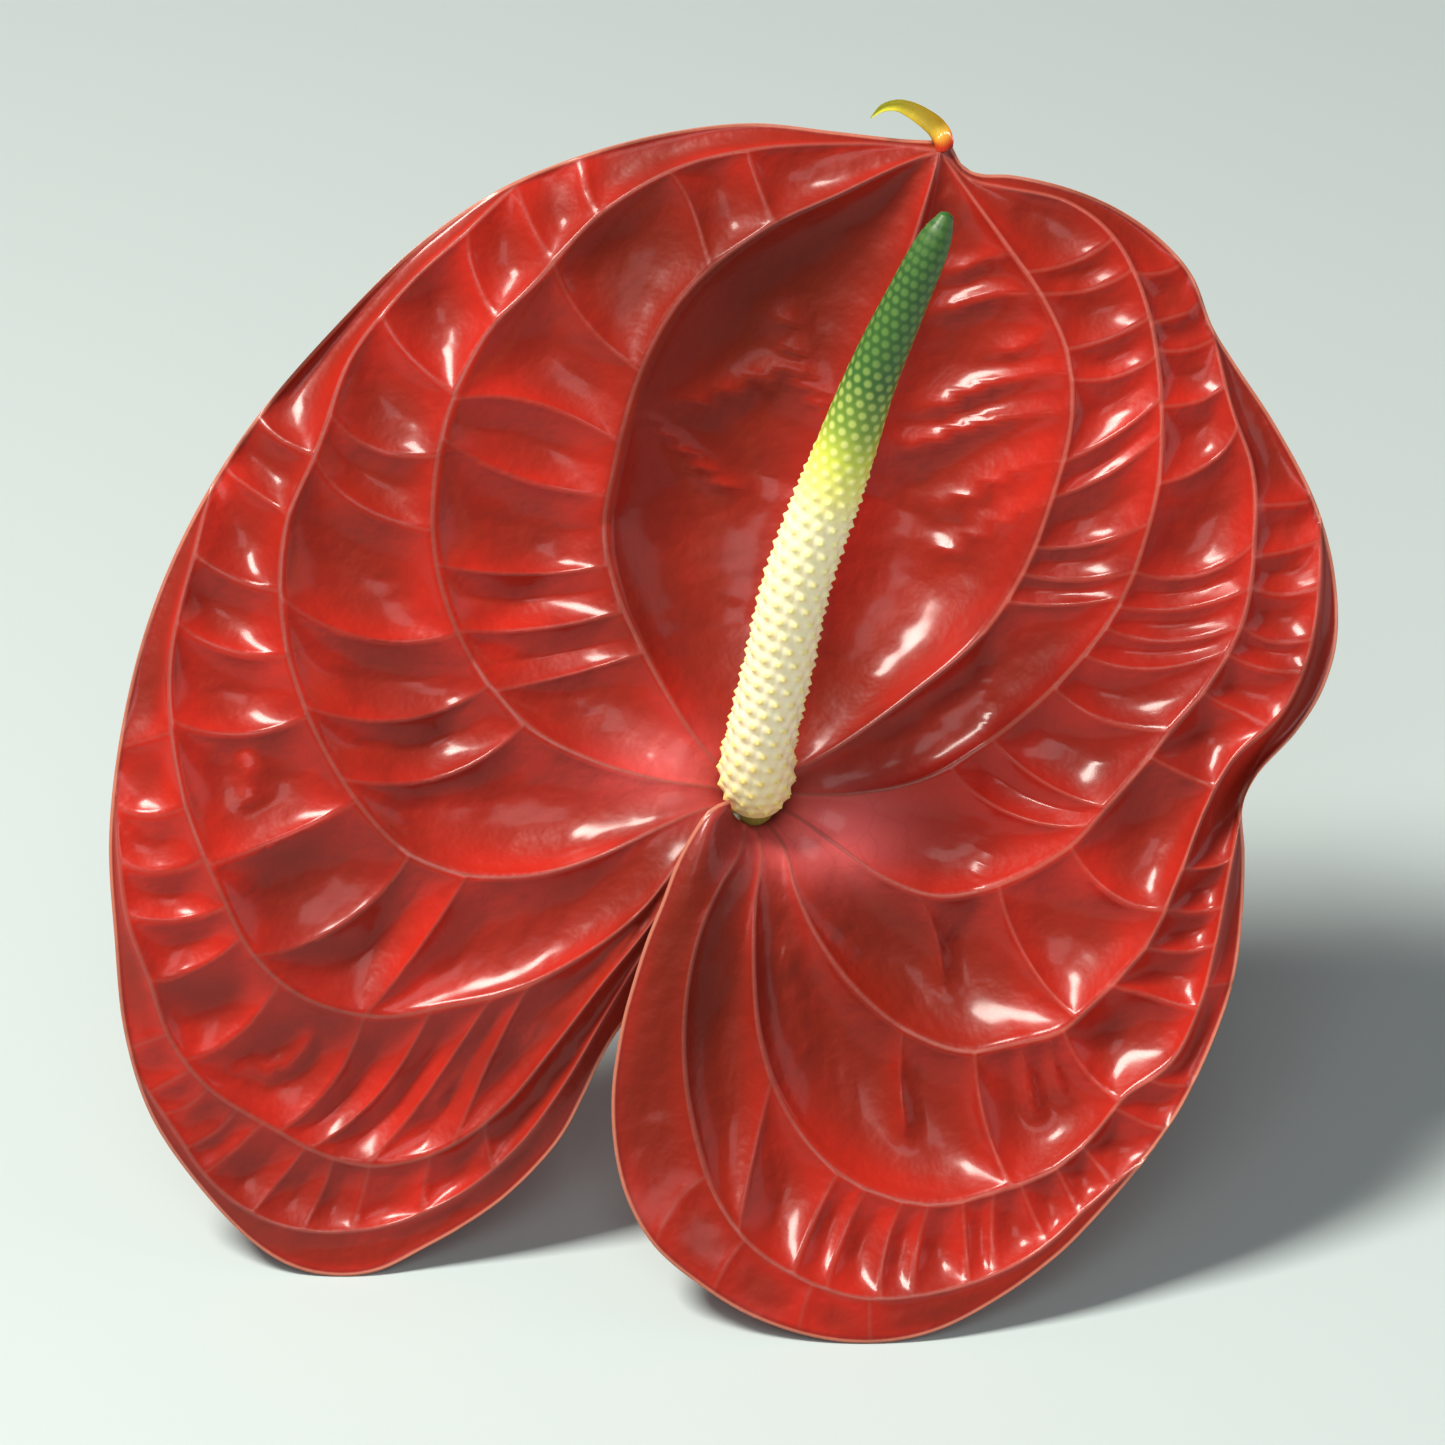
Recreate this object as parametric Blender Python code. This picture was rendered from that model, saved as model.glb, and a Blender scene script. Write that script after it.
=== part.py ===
"""A cut anthurium flower that lies on a table: its spathe, its spadix and its stem.

The flower is drawn in the spathe's own plane, in millimetres: x to the right, y towards the drip tip, z out
of the face, with the origin where the stem meets the spathe. The plane then leans back, and the flower
stands on its two lobes and on the stem that lies behind them. World units are metres, +Z is up.
"""

import math

import bpy
import numpy as np

MM = 0.001

# How the flower lies
LEAN = math.radians(30.0)           # the spathe's plane, back from upright
PRESSED = 0.25                      # how far each lobe is pressed flat on the table

# Blade of the spathe
THICKNESS = 0.9
RING_CENTRE = (0.0, 2.8)            # of the hole round the stem
RING_RADIUS = 3.3
RING_REACH = 8.0                    # how far the points that were drawn round the origin follow the hole
RING_FADE = 0.03                    # share of the rows over which the grid leaves the hole's circle
TIP_CENTRE = (22.8, 81.6)
TIP_RADIUS = 1.3
ROWS = 66                           # from the stem to the drip tip
JOIN_LENGTH = 9.0                   # from an outer vein's last point to where it meets the margin
EDGE_EASE = -0.4                    # steps of the blade's edges, long near the stem
VEIN_EASE = 0.2                     # and of the inner veins, long near the drip tip

# Relief of the blade
DISH_DEPTH = 10.5
DISH_START = 0.10                   # share of the way to the margin at which the dish starts to rise
DISH_END = 0.85                     # and at which it is full
DISH_FOOT_STRETCH = 0.18            # how much later that is at the foot of a lobe
LEFT_FOOT_FLATTER = 0.15            # how much shallower the dish is at the foot of each lobe
RIGHT_FOOT_FLATTER = 0.45
FOOT = 45.0                         # how far below the stem that holds in full
BOWL_DEPTH = 3.6                    # of the deeper bowl on both sides of the midrib
BOWL_POWER = 0.8                    # how evenly the bowl's depth is spread along the midrib
RIM_DROP = 2.8
RIM_WIDTH = 2.4
RIM_AT_FOOT = 0.25                  # share of the rim's drop that is left at the foot of a lobe
RIM_FOOT = 40.0                     # how far below the stem that holds in full
TROUGH_DEPTH = 3.6                  # of a wide trough between two veins
TROUGH_WIDTH = 11.0                 # of a trough that is two thirds as deep
TROUGH_POWER = 1.7                  # how fast a narrower trough gets shallow
TROUGH_NEAR_STEM = (3.0, 24.0)      # distances to the hole's middle between which the troughs deepen
OUTER_TROUGH = 0.4                  # share of the depth outside the outermost veins
RIB_HEIGHT = 0.75                   # share of a trough that a cross vein fills
RIB_WIDTH = 2.2
RING_DROP = 1.6
RING_WIDTH = 4.0
LEFT_EDGE_LIFT = 1.4                # of the lobes' inner edges, where the right one passes in front
RIGHT_EDGE_LIFT = 3.4
EDGE_LIFT_REACH = 40.0
EDGE_LIFT_POWER = 2.5               # how far the lift keeps to the edge
LEFT_LOBE_BACK = 11.9
LEFT_LOBE_LENGTH = 58.0
RIGHT_LOBE_FORWARD = 3.4
RIGHT_LOBE_LENGTH = 64.0

# Spadix
SPADIX_RADIUS = 3.95
SPADIX_AROUND = 22
SPADIX_ROWS = 64
FLORET_HEIGHT = 0.42
SMALLEST_FLORET = 0.3               # height of the florets at the thin end, as a share
SPADIX_END = 0.7                    # how far the end stands out, as a share of the last radius

# Drip tip
DRIP_TIP_RINGS = 14
DRIP_TIP_SIDES = 10
DRIP_TIP_END = 0.5                  # the last point beyond the last ring, as a share of a step

# Stem
STEM_TOP_RADIUS = 2.75
STEM_END_RADIUS = 3.2
STEM_COLLAR_RADIUS = 3.1
STEM_COLLAR_LENGTH = 1.2
STEM_NECK_LEAD = 0.5                # straight piece under the spadix
STEM_NECK = [(0.24, 3.07, 4.3), (0.12, 2.78, 3.55), (0.0, 2.68, 2.75), (0.0, 2.8, -0.5), (0.0, 2.8, -4.5),
             (0.0, 2.8, -12.0)]
STEM_FALL = 125.0                   # how far behind the spathe the stem reaches the table
STEM_FALL_START = 30.0              # how hard it holds on to each of its directions on the way down
STEM_FALL_END = 0.62
STEM_FALL_POINTS = 22
STEM_LENGTH_ON_TABLE = 145.0
STEM_SWAY = 9.0                     # how far its end has turned aside
STEM_TABLE_POINTS = 16
STEM_SIDES = 12
SEAT_GAP = 0.3

# The edges of the sinus, from the stem to the foot of each lobe
SINUS_LEFT = [(-4.0, -6.6), (-6.6, -11.0), (-9.8, -16.0), (-13.4, -21.0), (-16.6, -25.4), (-18.6, -29.0),
              (-20.4, -32.8), (-22.6, -37.0), (-25.2, -40.4), (-30.0, -45.1), (-35.0, -48.6),
              (-40.0, -51.4), (-45.0, -53.9)]
SINUS_RIGHT = [(-5.0, 0.3), (-7.2, -2.0), (-9.2, -5.2), (-10.7, -8.9), (-12.6, -13.5), (-14.3, -18.8),
               (-15.4, -22.8), (-16.1, -26.5), (-16.7, -31.0), (-16.7, -36.0), (-16.0, -41.0),
               (-14.6, -45.3), (-11.6, -50.2)]

# The outer margin, from the foot of each lobe to the drip tip
MARGIN_LEFT = [(-49.5, -54.6), (-55.0, -53.7), (-60.0, -50.8), (-66.5, -44.0), (-72.4, -35.0),
               (-75.3, -25.0), (-76.3, -13.0), (-76.8, -1.0), (-75.2, 12.5), (-72.0, 25.0),
               (-67.0, 36.6), (-60.0, 47.8), (-50.0, 59.5), (-40.0, 69.4), (-30.0, 76.2), (-20.0, 80.3),
               (-10.0, 82.9), (0.0, 84.0), (10.0, 83.0), (18.0, 82.1)]
MARGIN_RIGHT = [(-6.0, -54.9), (0.0, -58.5), (8.0, -61.1), (15.0, -61.6), (22.0, -60.2), (30.0, -56.0),
                (36.5, -51.2), (40.0, -47.8), (46.0, -41.0), (51.0, -34.0), (55.2, -25.3),
                (57.6, -18.0), (58.6, -10.0), (58.8, -3.0), (58.6, 2.5), (60.2, 6.0), (65.0, 11.3),
                (68.0, 16.0), (69.8, 22.0), (69.6, 30.0), (67.4, 38.5), (62.5, 48.0), (57.5, 55.6),
                (55.0, 59.7), (52.6, 65.8), (49.0, 70.0), (44.0, 73.6), (38.0, 76.2), (31.0, 77.8),
                (27.0, 78.0), (25.2, 78.9)]

# The main veins, in order from the left edge of the sinus to the right one. The outer ones join the margin
# a little past their last point, and the inner ones run to the drip tip.
OUTER, INNER = "outer", "inner"
VEINS = [
    (OUTER, [(-5.0, -5.4), (-8.6, -9.4), (-13.4, -15.8), (-18.0, -23.4), (-22.5, -31.0), (-28.5, -39.0),
             (-36.0, -45.0), (-45.0, -48.6), (-54.5, -48.9), (-61.0, -46.5), (-66.0, -42.2),
             (-69.5, -36.8)]),
    (OUTER, [(-4.9, -3.6), (-8.7, -7.4), (-13.4, -13.4), (-18.0, -19.0), (-23.5, -26.2), (-30.0, -34.0),
             (-37.0, -39.0), (-45.0, -41.1), (-51.5, -39.8), (-58.0, -36.3), (-65.2, -31.6),
             (-69.6, -25.8), (-72.2, -18.0), (-74.6, -11.0), (-75.6, -3.0)]),
    (OUTER, [(-4.9, -2.0), (-8.4, -4.6), (-12.9, -9.8), (-19.4, -15.0), (-28.0, -19.5), (-37.0, -21.7),
             (-45.0, -22.9), (-53.4, -20.7), (-59.5, -15.5), (-63.4, -7.8), (-66.9, 0.6),
             (-69.1, 10.5), (-69.2, 21.0), (-66.6, 32.4)]),
    (OUTER, [(-5.2, 0.4), (-9.9, -0.2), (-19.4, -4.0), (-26.5, -5.9), (-34.1, -5.8), (-41.2, -3.2),
             (-47.6, 3.6), (-53.0, 13.4), (-55.9, 24.0), (-55.6, 35.5), (-51.6, 45.4), (-47.8, 56.0),
             (-41.4, 64.2), (-33.8, 71.2)]),
    (INNER, [(-4.6, 2.8), (-10.9, 5.2), (-19.4, 8.0), (-26.5, 11.8), (-33.2, 19.4), (-37.2, 29.0),
             (-38.1, 38.0), (-36.4, 48.6), (-32.2, 57.8), (-25.4, 65.2), (-18.7, 72.4), (-9.6, 78.2),
             (0.0, 80.7), (10.0, 81.4), (18.0, 81.3)]),
    (INNER, [(-3.2, 4.6), (-7.4, 11.2), (-12.3, 19.6), (-16.2, 28.1), (-17.7, 35.5), (-16.6, 42.5),
             (-13.8, 53.0), (-9.6, 61.4), (-4.6, 66.8), (2.6, 71.7), (10.6, 75.4), (17.7, 78.8)]),
    (INNER, [(1.1, 5.0), (5.0, 20.0), (9.5, 38.0), (14.3, 55.0), (19.0, 69.0), (21.6, 77.5)]),
    (INNER, [(3.8, 4.0), (10.6, 9.6), (19.4, 16.0), (27.1, 22.5), (32.4, 30.4), (35.9, 39.6),
             (38.1, 49.0), (37.4, 56.8), (34.6, 63.0), (30.5, 69.0), (26.2, 75.0)]),
    (INNER, [(4.6, 1.9), (11.7, 3.6), (20.5, 5.6), (29.5, 11.0), (37.0, 17.6), (43.2, 25.4),
             (46.9, 34.5), (48.6, 43.0), (48.5, 53.4), (46.7, 63.0), (43.0, 70.4), (37.5, 74.6),
             (30.0, 76.2), (26.2, 77.2)]),
    (OUTER, [(4.8, -0.5), (9.9, -2.6), (16.6, -6.6), (22.8, -8.4), (30.0, -6.8), (37.6, -2.6),
             (42.6, 2.7), (49.5, 11.0), (55.0, 17.8), (58.6, 25.0), (59.8, 34.0), (59.6, 42.5),
             (57.0, 50.4)]),
    (OUTER, [(3.9, -4.2), (5.2, -8.2), (7.9, -13.5), (12.5, -19.6), (18.4, -24.4), (25.3, -26.9),
             (31.6, -25.9), (36.9, -24.4), (42.0, -19.8), (47.2, -13.9), (51.0, -5.5), (54.0, 2.2),
             (57.4, 8.2), (63.0, 13.2), (66.2, 20.0), (67.6, 28.0)]),
    (OUTER, [(1.2, -5.2), (0.4, -9.5), (0.3, -19.0), (1.1, -26.1), (3.6, -33.2), (8.1, -39.5),
             (14.0, -43.5), (21.9, -45.2), (28.5, -43.8), (35.6, -41.2), (40.5, -37.2), (44.4, -32.3),
             (50.0, -28.2), (53.0, -22.5), (55.3, -14.0), (56.8, -6.0)]),
    (OUTER, [(-1.6, -5.2), (-3.9, -8.0), (-6.3, -13.0), (-7.8, -20.0), (-8.1, -28.0), (-7.0, -36.0),
             (-4.6, -43.6), (-0.8, -49.3), (4.9, -53.4), (12.4, -56.1), (20.0, -55.9), (28.0, -53.8),
             (34.5, -50.4), (40.0, -45.4)]),
]

# Where the veins leave the stem, in degrees round it, from the left edge of the sinus to the right one,
# and where they end round the drip tip
RING_ANGLES = [244, 234, 224, 211, 186, 159, 132, 75, 38, 12, -16, -54, -79, -104, -190]
TIP_ANGLES = (165.0, 335.0)

# Columns in each band between two neighbouring veins, from the left edge of the sinus to the right one
BAND_COLUMNS = [2, 3, 3, 4, 4, 4, 4, 4, 3, 4, 4, 4, 4, 3]

# Cross veins: where each starts and ends, and how far it bows to its right, as a share of its length
CROSS_VEINS = [
    # Between the first and second veins on the left
    (-23.6, 67, -13.6, 54.5, 0.08), (-30, 48.8, -16.2, 46, -0.16), (-29, 44.5, -17.8, 39.6, 0.10),
    (-27.5, 33, -18, 31, 0.08), (-27, 27, -17, 25, 0.1), (-25, 21, -14.5, 20, 0.1),
    (-9.6, 77.5, -5.2, 66.8, -0.08), (-0.5, 80, 2.2, 71.8, 0.0),
    # Between the second and third on the left
    (-33.6, 70.6, -30.6, 60.3, 0.08), (-41.3, 58.6, -35.8, 51.8, 0.05), (-48, 48.5, -37.8, 44.5, 0.2),
    (-52, 44, -38.2, 35.6, 0.12), (-55.6, 27.4, -36.2, 22.3, 0.15), (-46.5, 17, -33.5, 15.4, 0.22),
    (-43, 9.5, -29.6, 9.6, 0.26), (-26.6, 75, -23.7, 67.4, 0.06), (-19.9, 78.8, -19, 73, 0),
    # Between the third and fourth on the left
    (-57.3, 47.8, -52.5, 43.9, 0.03), (-62, 42.8, -55.6, 37.2, 0.04), (-66.4, 32.6, -56, 27.8, 0.06),
    (-68.6, 24.6, -55.6, 20.2, 0.1), (-69.1, 12.9, -53.4, 12.6, 0.12), (-60.3, 10.4, -59.8, 3.5, 0.0),
    (-64.3, -4.4, -47.6, 2.7, 0.03), (-57.6, -14, -41.9, -4.7, 0.15),
    (-46, -18, -34.3, -6.4, 0.08),
    # Between the fourth and fifth on the left
    (-75.2, 9.4, -69.2, 11, 0), (-75.6, 2.6, -67.4, 2, 0.12), (-75.2, -4.2, -64.9, -4, 0.12),
    (-74.8, -10.6, -64.2, -10.4, 0.1), (-72, -18.6, -62, -13.6, 0.1), (-67.5, -27.6, -57.4, -19.8, 0.12),
    (-56.8, -36.5, -46.7, -23.3, 0.1), (-61, -28.5, -53.5, -26, 0.26), (-52.5, -37.2, -37.4, -27.5, 0.04),
    (-46.5, -38.8, -29.6, -26.3, 0.06), (-37, -36.8, -24.6, -23.4, 0.05),
    # Outside the fifth on the left
    (-74.2, -26.6, -70.8, -25.2, 0), (-73.2, -32.6, -68.4, -30, 0), (-71, -34.8, -66, -32.6, 0.1),
    (-68.7, -39, -62.4, -34.6, 0.1), (-65.9, -41.8, -59.2, -36.6, 0.0), (-60.2, -46.6, -54.2, -40, 0.0),
    (-54, -46.6, -51, -41.4, 0.1), (-48.6, -46.4, -46, -41.8, 0), (-40.8, -45, -38.8, -40.4, 0),
    (-33, -39.5, -32.4, -36, 0),
    # In the bowl on either side of the midrib
    (-7.5, 50.5, 3.6, 55.3, 0), (3.6, 55.3, 9, 49, -0.04), (-13, 49.5, -2.5, 40.5, 0.02),
    (4, 61.5, 9.5, 51, 0.1), (35.2, 59, 30.6, 56.8, -0.05), (37.8, 54, 22, 50, 0.08),
    (38, 49.5, 20, 45.5, 0.06), (37, 44, 24, 38.4, 0.06), (35.2, 38.5, 24, 33, 0.05),
    (35, 63, 24, 62, 0.1), (31.5, 68, 25, 66.5, 0.1),
    # Between the first and second on the right
    (37.6, 57, 43.5, 59.8, 0.1), (38.2, 53.2, 44.8, 55.6, 0.15), (38.1, 48.8, 44.4, 51.2, 0.15),
    (35.7, 39.3, 46.4, 47, 0.08), (34.4, 33, 43.8, 37.2, 0.12), (33.2, 29.6, 43, 31.4, 0.1),
    (32, 26, 41, 29, 0.1), (34.4, 63.6, 42.2, 65, 0.15), (33, 66.5, 41, 68.5, 0.12),
    (37.4, 43.5, 46.5, 51, 0.05),
    # Between the second and third on the right
    (48.5, 40.8, 57.4, 47.8, 0.12), (48.7, 50, 53.6, 52, 0.15), (46.4, 30, 57.4, 34, 0.2),
    (42.4, 23.2, 56.2, 24.8, 0.15), (44, 26, 56, 29, 0.08), (40, 20.2, 55.4, 22, 0.2),
    (36.8, 16, 47.5, 13.6, 0.18), (29.4, 9.2, 39.6, 4.6, 0.08), (25, 4.8, 38, 2.4, 0.24),
    (48.3, 56.5, 53.6, 58, 0.1), (47.4, 60, 53.2, 63, 0.1), (45.4, 66, 50.5, 66.5, 0.1),
    # Between the third and fourth on the right
    (59.9, 32.4, 67.4, 34.2, 0.06), (58.4, 24.2, 67, 22.4, 0.16), (53.6, 15.8, 60.4, 13.4, 0.06),
    (47.4, 8.6, 54.4, 5.0, 0.02), (38.4, -2.6, 49.4, -9.8, 0.16), (19.6, -8, 22.8, -18, -0.08),
    (29.6, -7, 38.6, -22.6, 0.09), (59.3, 28.4, 67.5, 28.6, 0.1), (56.8, 20.6, 66, 18.4, 0.1),
    (59.5, 38.5, 66.4, 39, 0.05),
    # Between the fourth and fifth on the right
    (37.6, -25, 44, -32.8, 0.09), (44.4, -20.4, 53, -21.8, -0.04), (26.6, -27.2, 30.9, -42.7, 0.06),
    (18, -24.6, 18.4, -36, 0.04), (31.8, -26.2, 33.6, -34, -0.03), (35.6, -25.2, 37, -31.5, 0.03),
    (47.4, -14.8, 55.4, -14, 0.06), (49.4, -10, 56.4, -9.4, 0.06), (51.4, -5, 57, -3.6, 0.06),
    # Between the fifth and sixth on the right
    (9.8, -42.4, 5.2, -52.6, 0.02), (13.4, -44, 10, -52, 0.04), (17.6, -45.2, 15.2, -53.5, 0.04),
    (20.8, -45.6, 19, -55, 0.03), (25.3, -45.2, 25, -52, 0), (28.8, -44.2, 28.5, -53, 0),
    (32.4, -43, 35.2, -49.8, 0.04), (36.6, -41.2, 38.2, -45.2, 0), (40.2, -38.8, 42.8, -42.6, 0),
    (-0.4, -31, -0.6, -47.6, -0.06),
    # Outside the sixth on the right
    (-1.6, -49.6, -3.9, -54.4, 0), (-7.0, -42, -10.2, -49, 0.1), (7, -54.4, 6, -58.6, 0),
    (14, -56.2, 14, -60, 0), (43.6, -33.6, 49, -36, 0), (47.5, -30, 52.4, -31, 0),
    (54, -19, 57.4, -18.6, 0),
]

# The drip tip's middle line, beyond the blade, and the spadix's, from its base to its end
DRIP_TIP = [(22.4, 80.4, 8.0), (22.9, 82.4, 9.0), (22.3, 84.1, 10.0), (20.4, 85.3, 10.7), (17.8, 85.9, 11.0),
            (15.4, 85.2, 11.1)]
DRIP_TIP_WIDTHS = [(1.7, 1.0), (1.45, 0.9), (1.15, 0.8), (0.9, 0.65), (0.6, 0.5), (0.3, 0.3)]
SPADIX_AXIS = [(0.4, 4.05, 5.5), (0.9, 9.8, 11.8), (3.1, 19.4, 19.4), (5.2, 28.9, 26.0), (10.3, 43.0, 34.4),
               (13.7, 52.3, 39.3), (17.8, 61.4, 43.8), (22.0, 70.2, 47.8)]
SPADIX_TAPER = [(0.0, 0.74), (0.05, 0.96), (0.10, 1.0), (0.25, 0.985), (0.375, 0.96), (0.485, 0.925),
                (0.60, 0.885), (0.655, 0.86), (0.71, 0.79), (0.765, 0.74), (0.82, 0.69), (0.87, 0.625),
                (0.925, 0.565), (0.955, 0.49), (0.98, 0.36), (0.995, 0.18)]


def smooth_points(points, count, ease=0.0):
    """A smooth curve through points, read at equal steps of its length.

    Each stretch is a cubic between two points, with slopes taken over both neighbours. An ease above
    zero makes the steps short at the start and long at the end, and one below zero the other way.
    """
    p = np.array(points, float)
    steps = np.sqrt(np.linalg.norm(np.diff(p, axis=0), axis=1))
    t = np.concatenate([[0.0], np.cumsum(steps)])
    slopes = np.gradient(p, t, axis=0)
    fine = np.linspace(0.0, t[-1], 30 * len(p))
    i = np.clip(np.searchsorted(t, fine, side="right") - 1, 0, len(p) - 2)
    h = (t[i + 1] - t[i])[:, None]
    q = (fine - t[i])[:, None] / h
    curve = (2 * q**3 - 3 * q**2 + 1) * p[i] + (3 * q**2 - 2 * q**3) * p[i + 1]
    curve += (q**3 - 2 * q**2 + q) * h * slopes[i] + (q**3 - q**2) * h * slopes[i + 1]
    length = np.concatenate([[0.0], np.cumsum(np.linalg.norm(np.diff(curve, axis=0), axis=1))])
    share = np.linspace(0.0, 1.0, count)
    wanted = length[-1] * (share - ease * share * (1 - share))
    return np.stack([np.interp(wanted, length, curve[:, k]) for k in range(p.shape[1])], axis=1)


def smooth_step(value, low, high):
    """Rises from 0 at low to 1 at high, flat at both ends: three times the square less twice the cube."""
    share = np.clip((value - low) / (high - low), 0.0, 1.0)
    return share * share * (3 - 2 * share)


def raise_start(line):
    """Moves a line's points near the stem up with the hole, by a bell of their distance to the origin."""
    rise = RING_CENTRE[1]
    return [(x, y + rise * math.exp(-((math.hypot(x, y) / RING_REACH) ** 2))) for x, y in line]


def polar(radius, degrees, centre):
    """A point at a radius and an angle round a centre."""
    angle = math.radians(degrees)
    return centre[0] + radius * math.cos(angle), centre[1] + radius * math.sin(angle)


def guide_curves(rows):
    """The lines that the blade is laid along, from the left edge of the sinus to the right one.

    Each starts on the ring round the stem and ends on the small circle under the drip tip. A vein that
    joins the margin runs on along it, with the margin's own points.
    """
    drawn = [(INNER, SINUS_LEFT + MARGIN_LEFT)] + VEINS + [(INNER, SINUS_RIGHT + MARGIN_RIGHT)]
    lines = [(kind, raise_start(line)) for kind, line in drawn]
    firsts = [polar(RING_RADIUS, degrees, RING_CENTRE) for degrees in RING_ANGLES]
    lasts = [polar(TIP_RADIUS, degrees, TIP_CENTRE) for degrees in np.linspace(*TIP_ANGLES, len(lines))]
    edges = [smooth_points([firsts[k]] + lines[k][1] + [lasts[k]], rows, EDGE_EASE) for k in (0, -1)]
    guides = []
    for k, (kind, line) in enumerate(lines):
        edge = edges[0] if 2 * k < len(lines) else edges[1]
        if k in (0, len(lines) - 1):
            guides.append(edge)
        elif kind == INNER:
            guides.append(smooth_points([firsts[k]] + line + [lasts[k]], rows, VEIN_EASE))
        else:
            nearest = np.argmin(np.linalg.norm(edge - np.array(line[-1]), axis=1))
            row = nearest + round(JOIN_LENGTH / np.linalg.norm(edge[nearest + 1] - edge[nearest]))
            free = smooth_points([firsts[k]] + line + [tuple(edge[row])], row + 1)
            guides.append(np.concatenate([free, edge[row + 1:]]))
    return np.array(guides)


def line_distance(x, y, line):
    """The distance of each point to a line of short straight stretches."""
    nearest = np.full(x.shape, 1e9)
    for a, b in zip(line[:-1], line[1:]):
        along = b - a
        share = ((x - a[0]) * along[0] + (y - a[1]) * along[1]) / max(along @ along, 1e-12)
        share = np.clip(share, 0.0, 1.0)
        gap = np.hypot(x - a[0] - share * along[0], y - a[1] - share * along[1])
        nearest = np.minimum(nearest, gap)
    return nearest


def bowed_line(x0, y0, x1, y1, bow, count=7):
    """A line from one point to another that bows to its right by a share of its length."""
    q = np.linspace(0.0, 1.0, count)
    x = x0 + q * (x1 - x0) + 4 * bow * q * (1 - q) * (y1 - y0)
    y = y0 + q * (y1 - y0) - 4 * bow * q * (1 - q) * (x1 - x0)
    return np.stack([x, y], axis=1)


def blade_plan(guides, band_columns):
    """The blade's grid in its own plane.

    A band between two guides is split evenly. Close to the stem the split is made round the ring, so
    that the blade keeps clear of it. Returns x, y, the place across the whole blade from -1 to 1, the
    place across the band from 0 to 1 and the band's width.
    """
    from_ring = guides - np.array(RING_CENTRE)
    radius = np.linalg.norm(from_ring, axis=2)
    angle = np.unwrap(np.arctan2(from_ring[..., 1], from_ring[..., 0]), axis=1)
    wanted = np.radians(RING_ANGLES)
    angle += (2 * np.pi * np.round((wanted - angle[:, 0]) / (2 * np.pi)))[:, None]
    rows = guides.shape[1]
    near_ring = np.exp(-(np.linspace(0.0, 1.0, rows) / RING_FADE) ** 2)
    x, y, place, across, width = [], [], [], [], []
    half = (len(guides) - 1) / 2
    for band, columns in enumerate(band_columns):
        last = band == len(band_columns) - 1
        for step in range(columns + (1 if last else 0)):
            v = step / columns
            flat = (1 - v) * guides[band] + v * guides[band + 1]
            r = (1 - v) * radius[band] + v * radius[band + 1]
            a = (1 - v) * angle[band] + v * angle[band + 1]
            x.append(flat[:, 0] + near_ring * (RING_CENTRE[0] + r * np.cos(a) - flat[:, 0]))
            y.append(flat[:, 1] + near_ring * (RING_CENTRE[1] + r * np.sin(a) - flat[:, 1]))
            place.append(np.full(rows, (band + v - half) / half))
            across.append(np.full(rows, v))
            width.append(np.linalg.norm(guides[band + 1] - guides[band], axis=1))
    return [np.array(value) for value in (x, y, place, across, width)]


def blade_height(x, y, place, across, width, guides):
    """How far each point of the blade stands out of its plane.

    The blade is a dish, flatter at the foot of each lobe, with a rim that turns back and a deeper bowl on
    both sides of the midrib. Between two veins it sinks in a trough, which the cross veins part. The left
    lobe bends back and the right one forward, and its inner edge passes in front of the left one's.
    """
    bands = len(BAND_COLUMNS)
    r = np.hypot(x - RING_CENTRE[0], y - RING_CENTRE[1])
    left = place <= 0.0
    to_edge = np.where(left, line_distance(x, y, guides[0][::2]), line_distance(x, y, guides[-1][::2]))
    foot = smooth_step(-y, 0.0, FOOT)
    way = r / (r + to_edge) / (1 + DISH_FOOT_STRETCH * foot)
    flatter = np.where(left, LEFT_FOOT_FLATTER, RIGHT_FOOT_FLATTER) * foot
    dish = DISH_DEPTH * smooth_step(way, DISH_START, DISH_END) * (1 - flatter)
    kept = RIM_AT_FOOT + (1 - RIM_AT_FOOT) * smooth_step(y, -RIM_FOOT, 0.0)
    rim = -RIM_DROP * np.exp(-to_edge / RIM_WIDTH) * kept
    ring = -RING_DROP * np.exp(-(r - RING_RADIUS) / RING_WIDTH)
    back = -LEFT_LOBE_BACK * smooth_step(-y, 0.0, LEFT_LOBE_LENGTH)
    forward = RIGHT_LOBE_FORWARD * smooth_step(-y, 0.0, RIGHT_LOBE_LENGTH)
    lift = np.where(left, LEFT_EDGE_LIFT, RIGHT_EDGE_LIFT) * np.exp(-((r / EDGE_LIFT_REACH) ** 2))
    passing = np.sign(place) * np.abs(place) ** EDGE_LIFT_POWER * lift + np.where(left, back, forward)
    inside = np.clip(1 - np.abs(place) * bands / 2, 0.0, 1.0)
    along = np.linspace(0.0, 1.0, x.shape[1])[None, :]
    bowl = BOWL_DEPTH * (1 - (1 - inside) ** 2) * np.sin(np.pi * along) ** BOWL_POWER
    ribs = np.zeros(x.shape)
    for cross in CROSS_VEINS:
        away = line_distance(x, y, bowed_line(*cross))
        ribs = np.maximum(ribs, np.exp(-(away / RIB_WIDTH) ** 2))
    depth = TROUGH_DEPTH * (1 - np.exp(-((width / TROUGH_WIDTH) ** TROUGH_POWER)))
    depth = depth * smooth_step(r, *TROUGH_NEAR_STEM)
    depth = np.where(np.abs(place) > 1 - 2 / bands, OUTER_TROUGH * depth, depth)
    trough = depth * 4 * across * (1 - across)
    return dish + rim + ring + passing - bowl - trough * (1 - RIB_HEIGHT * ribs)


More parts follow.
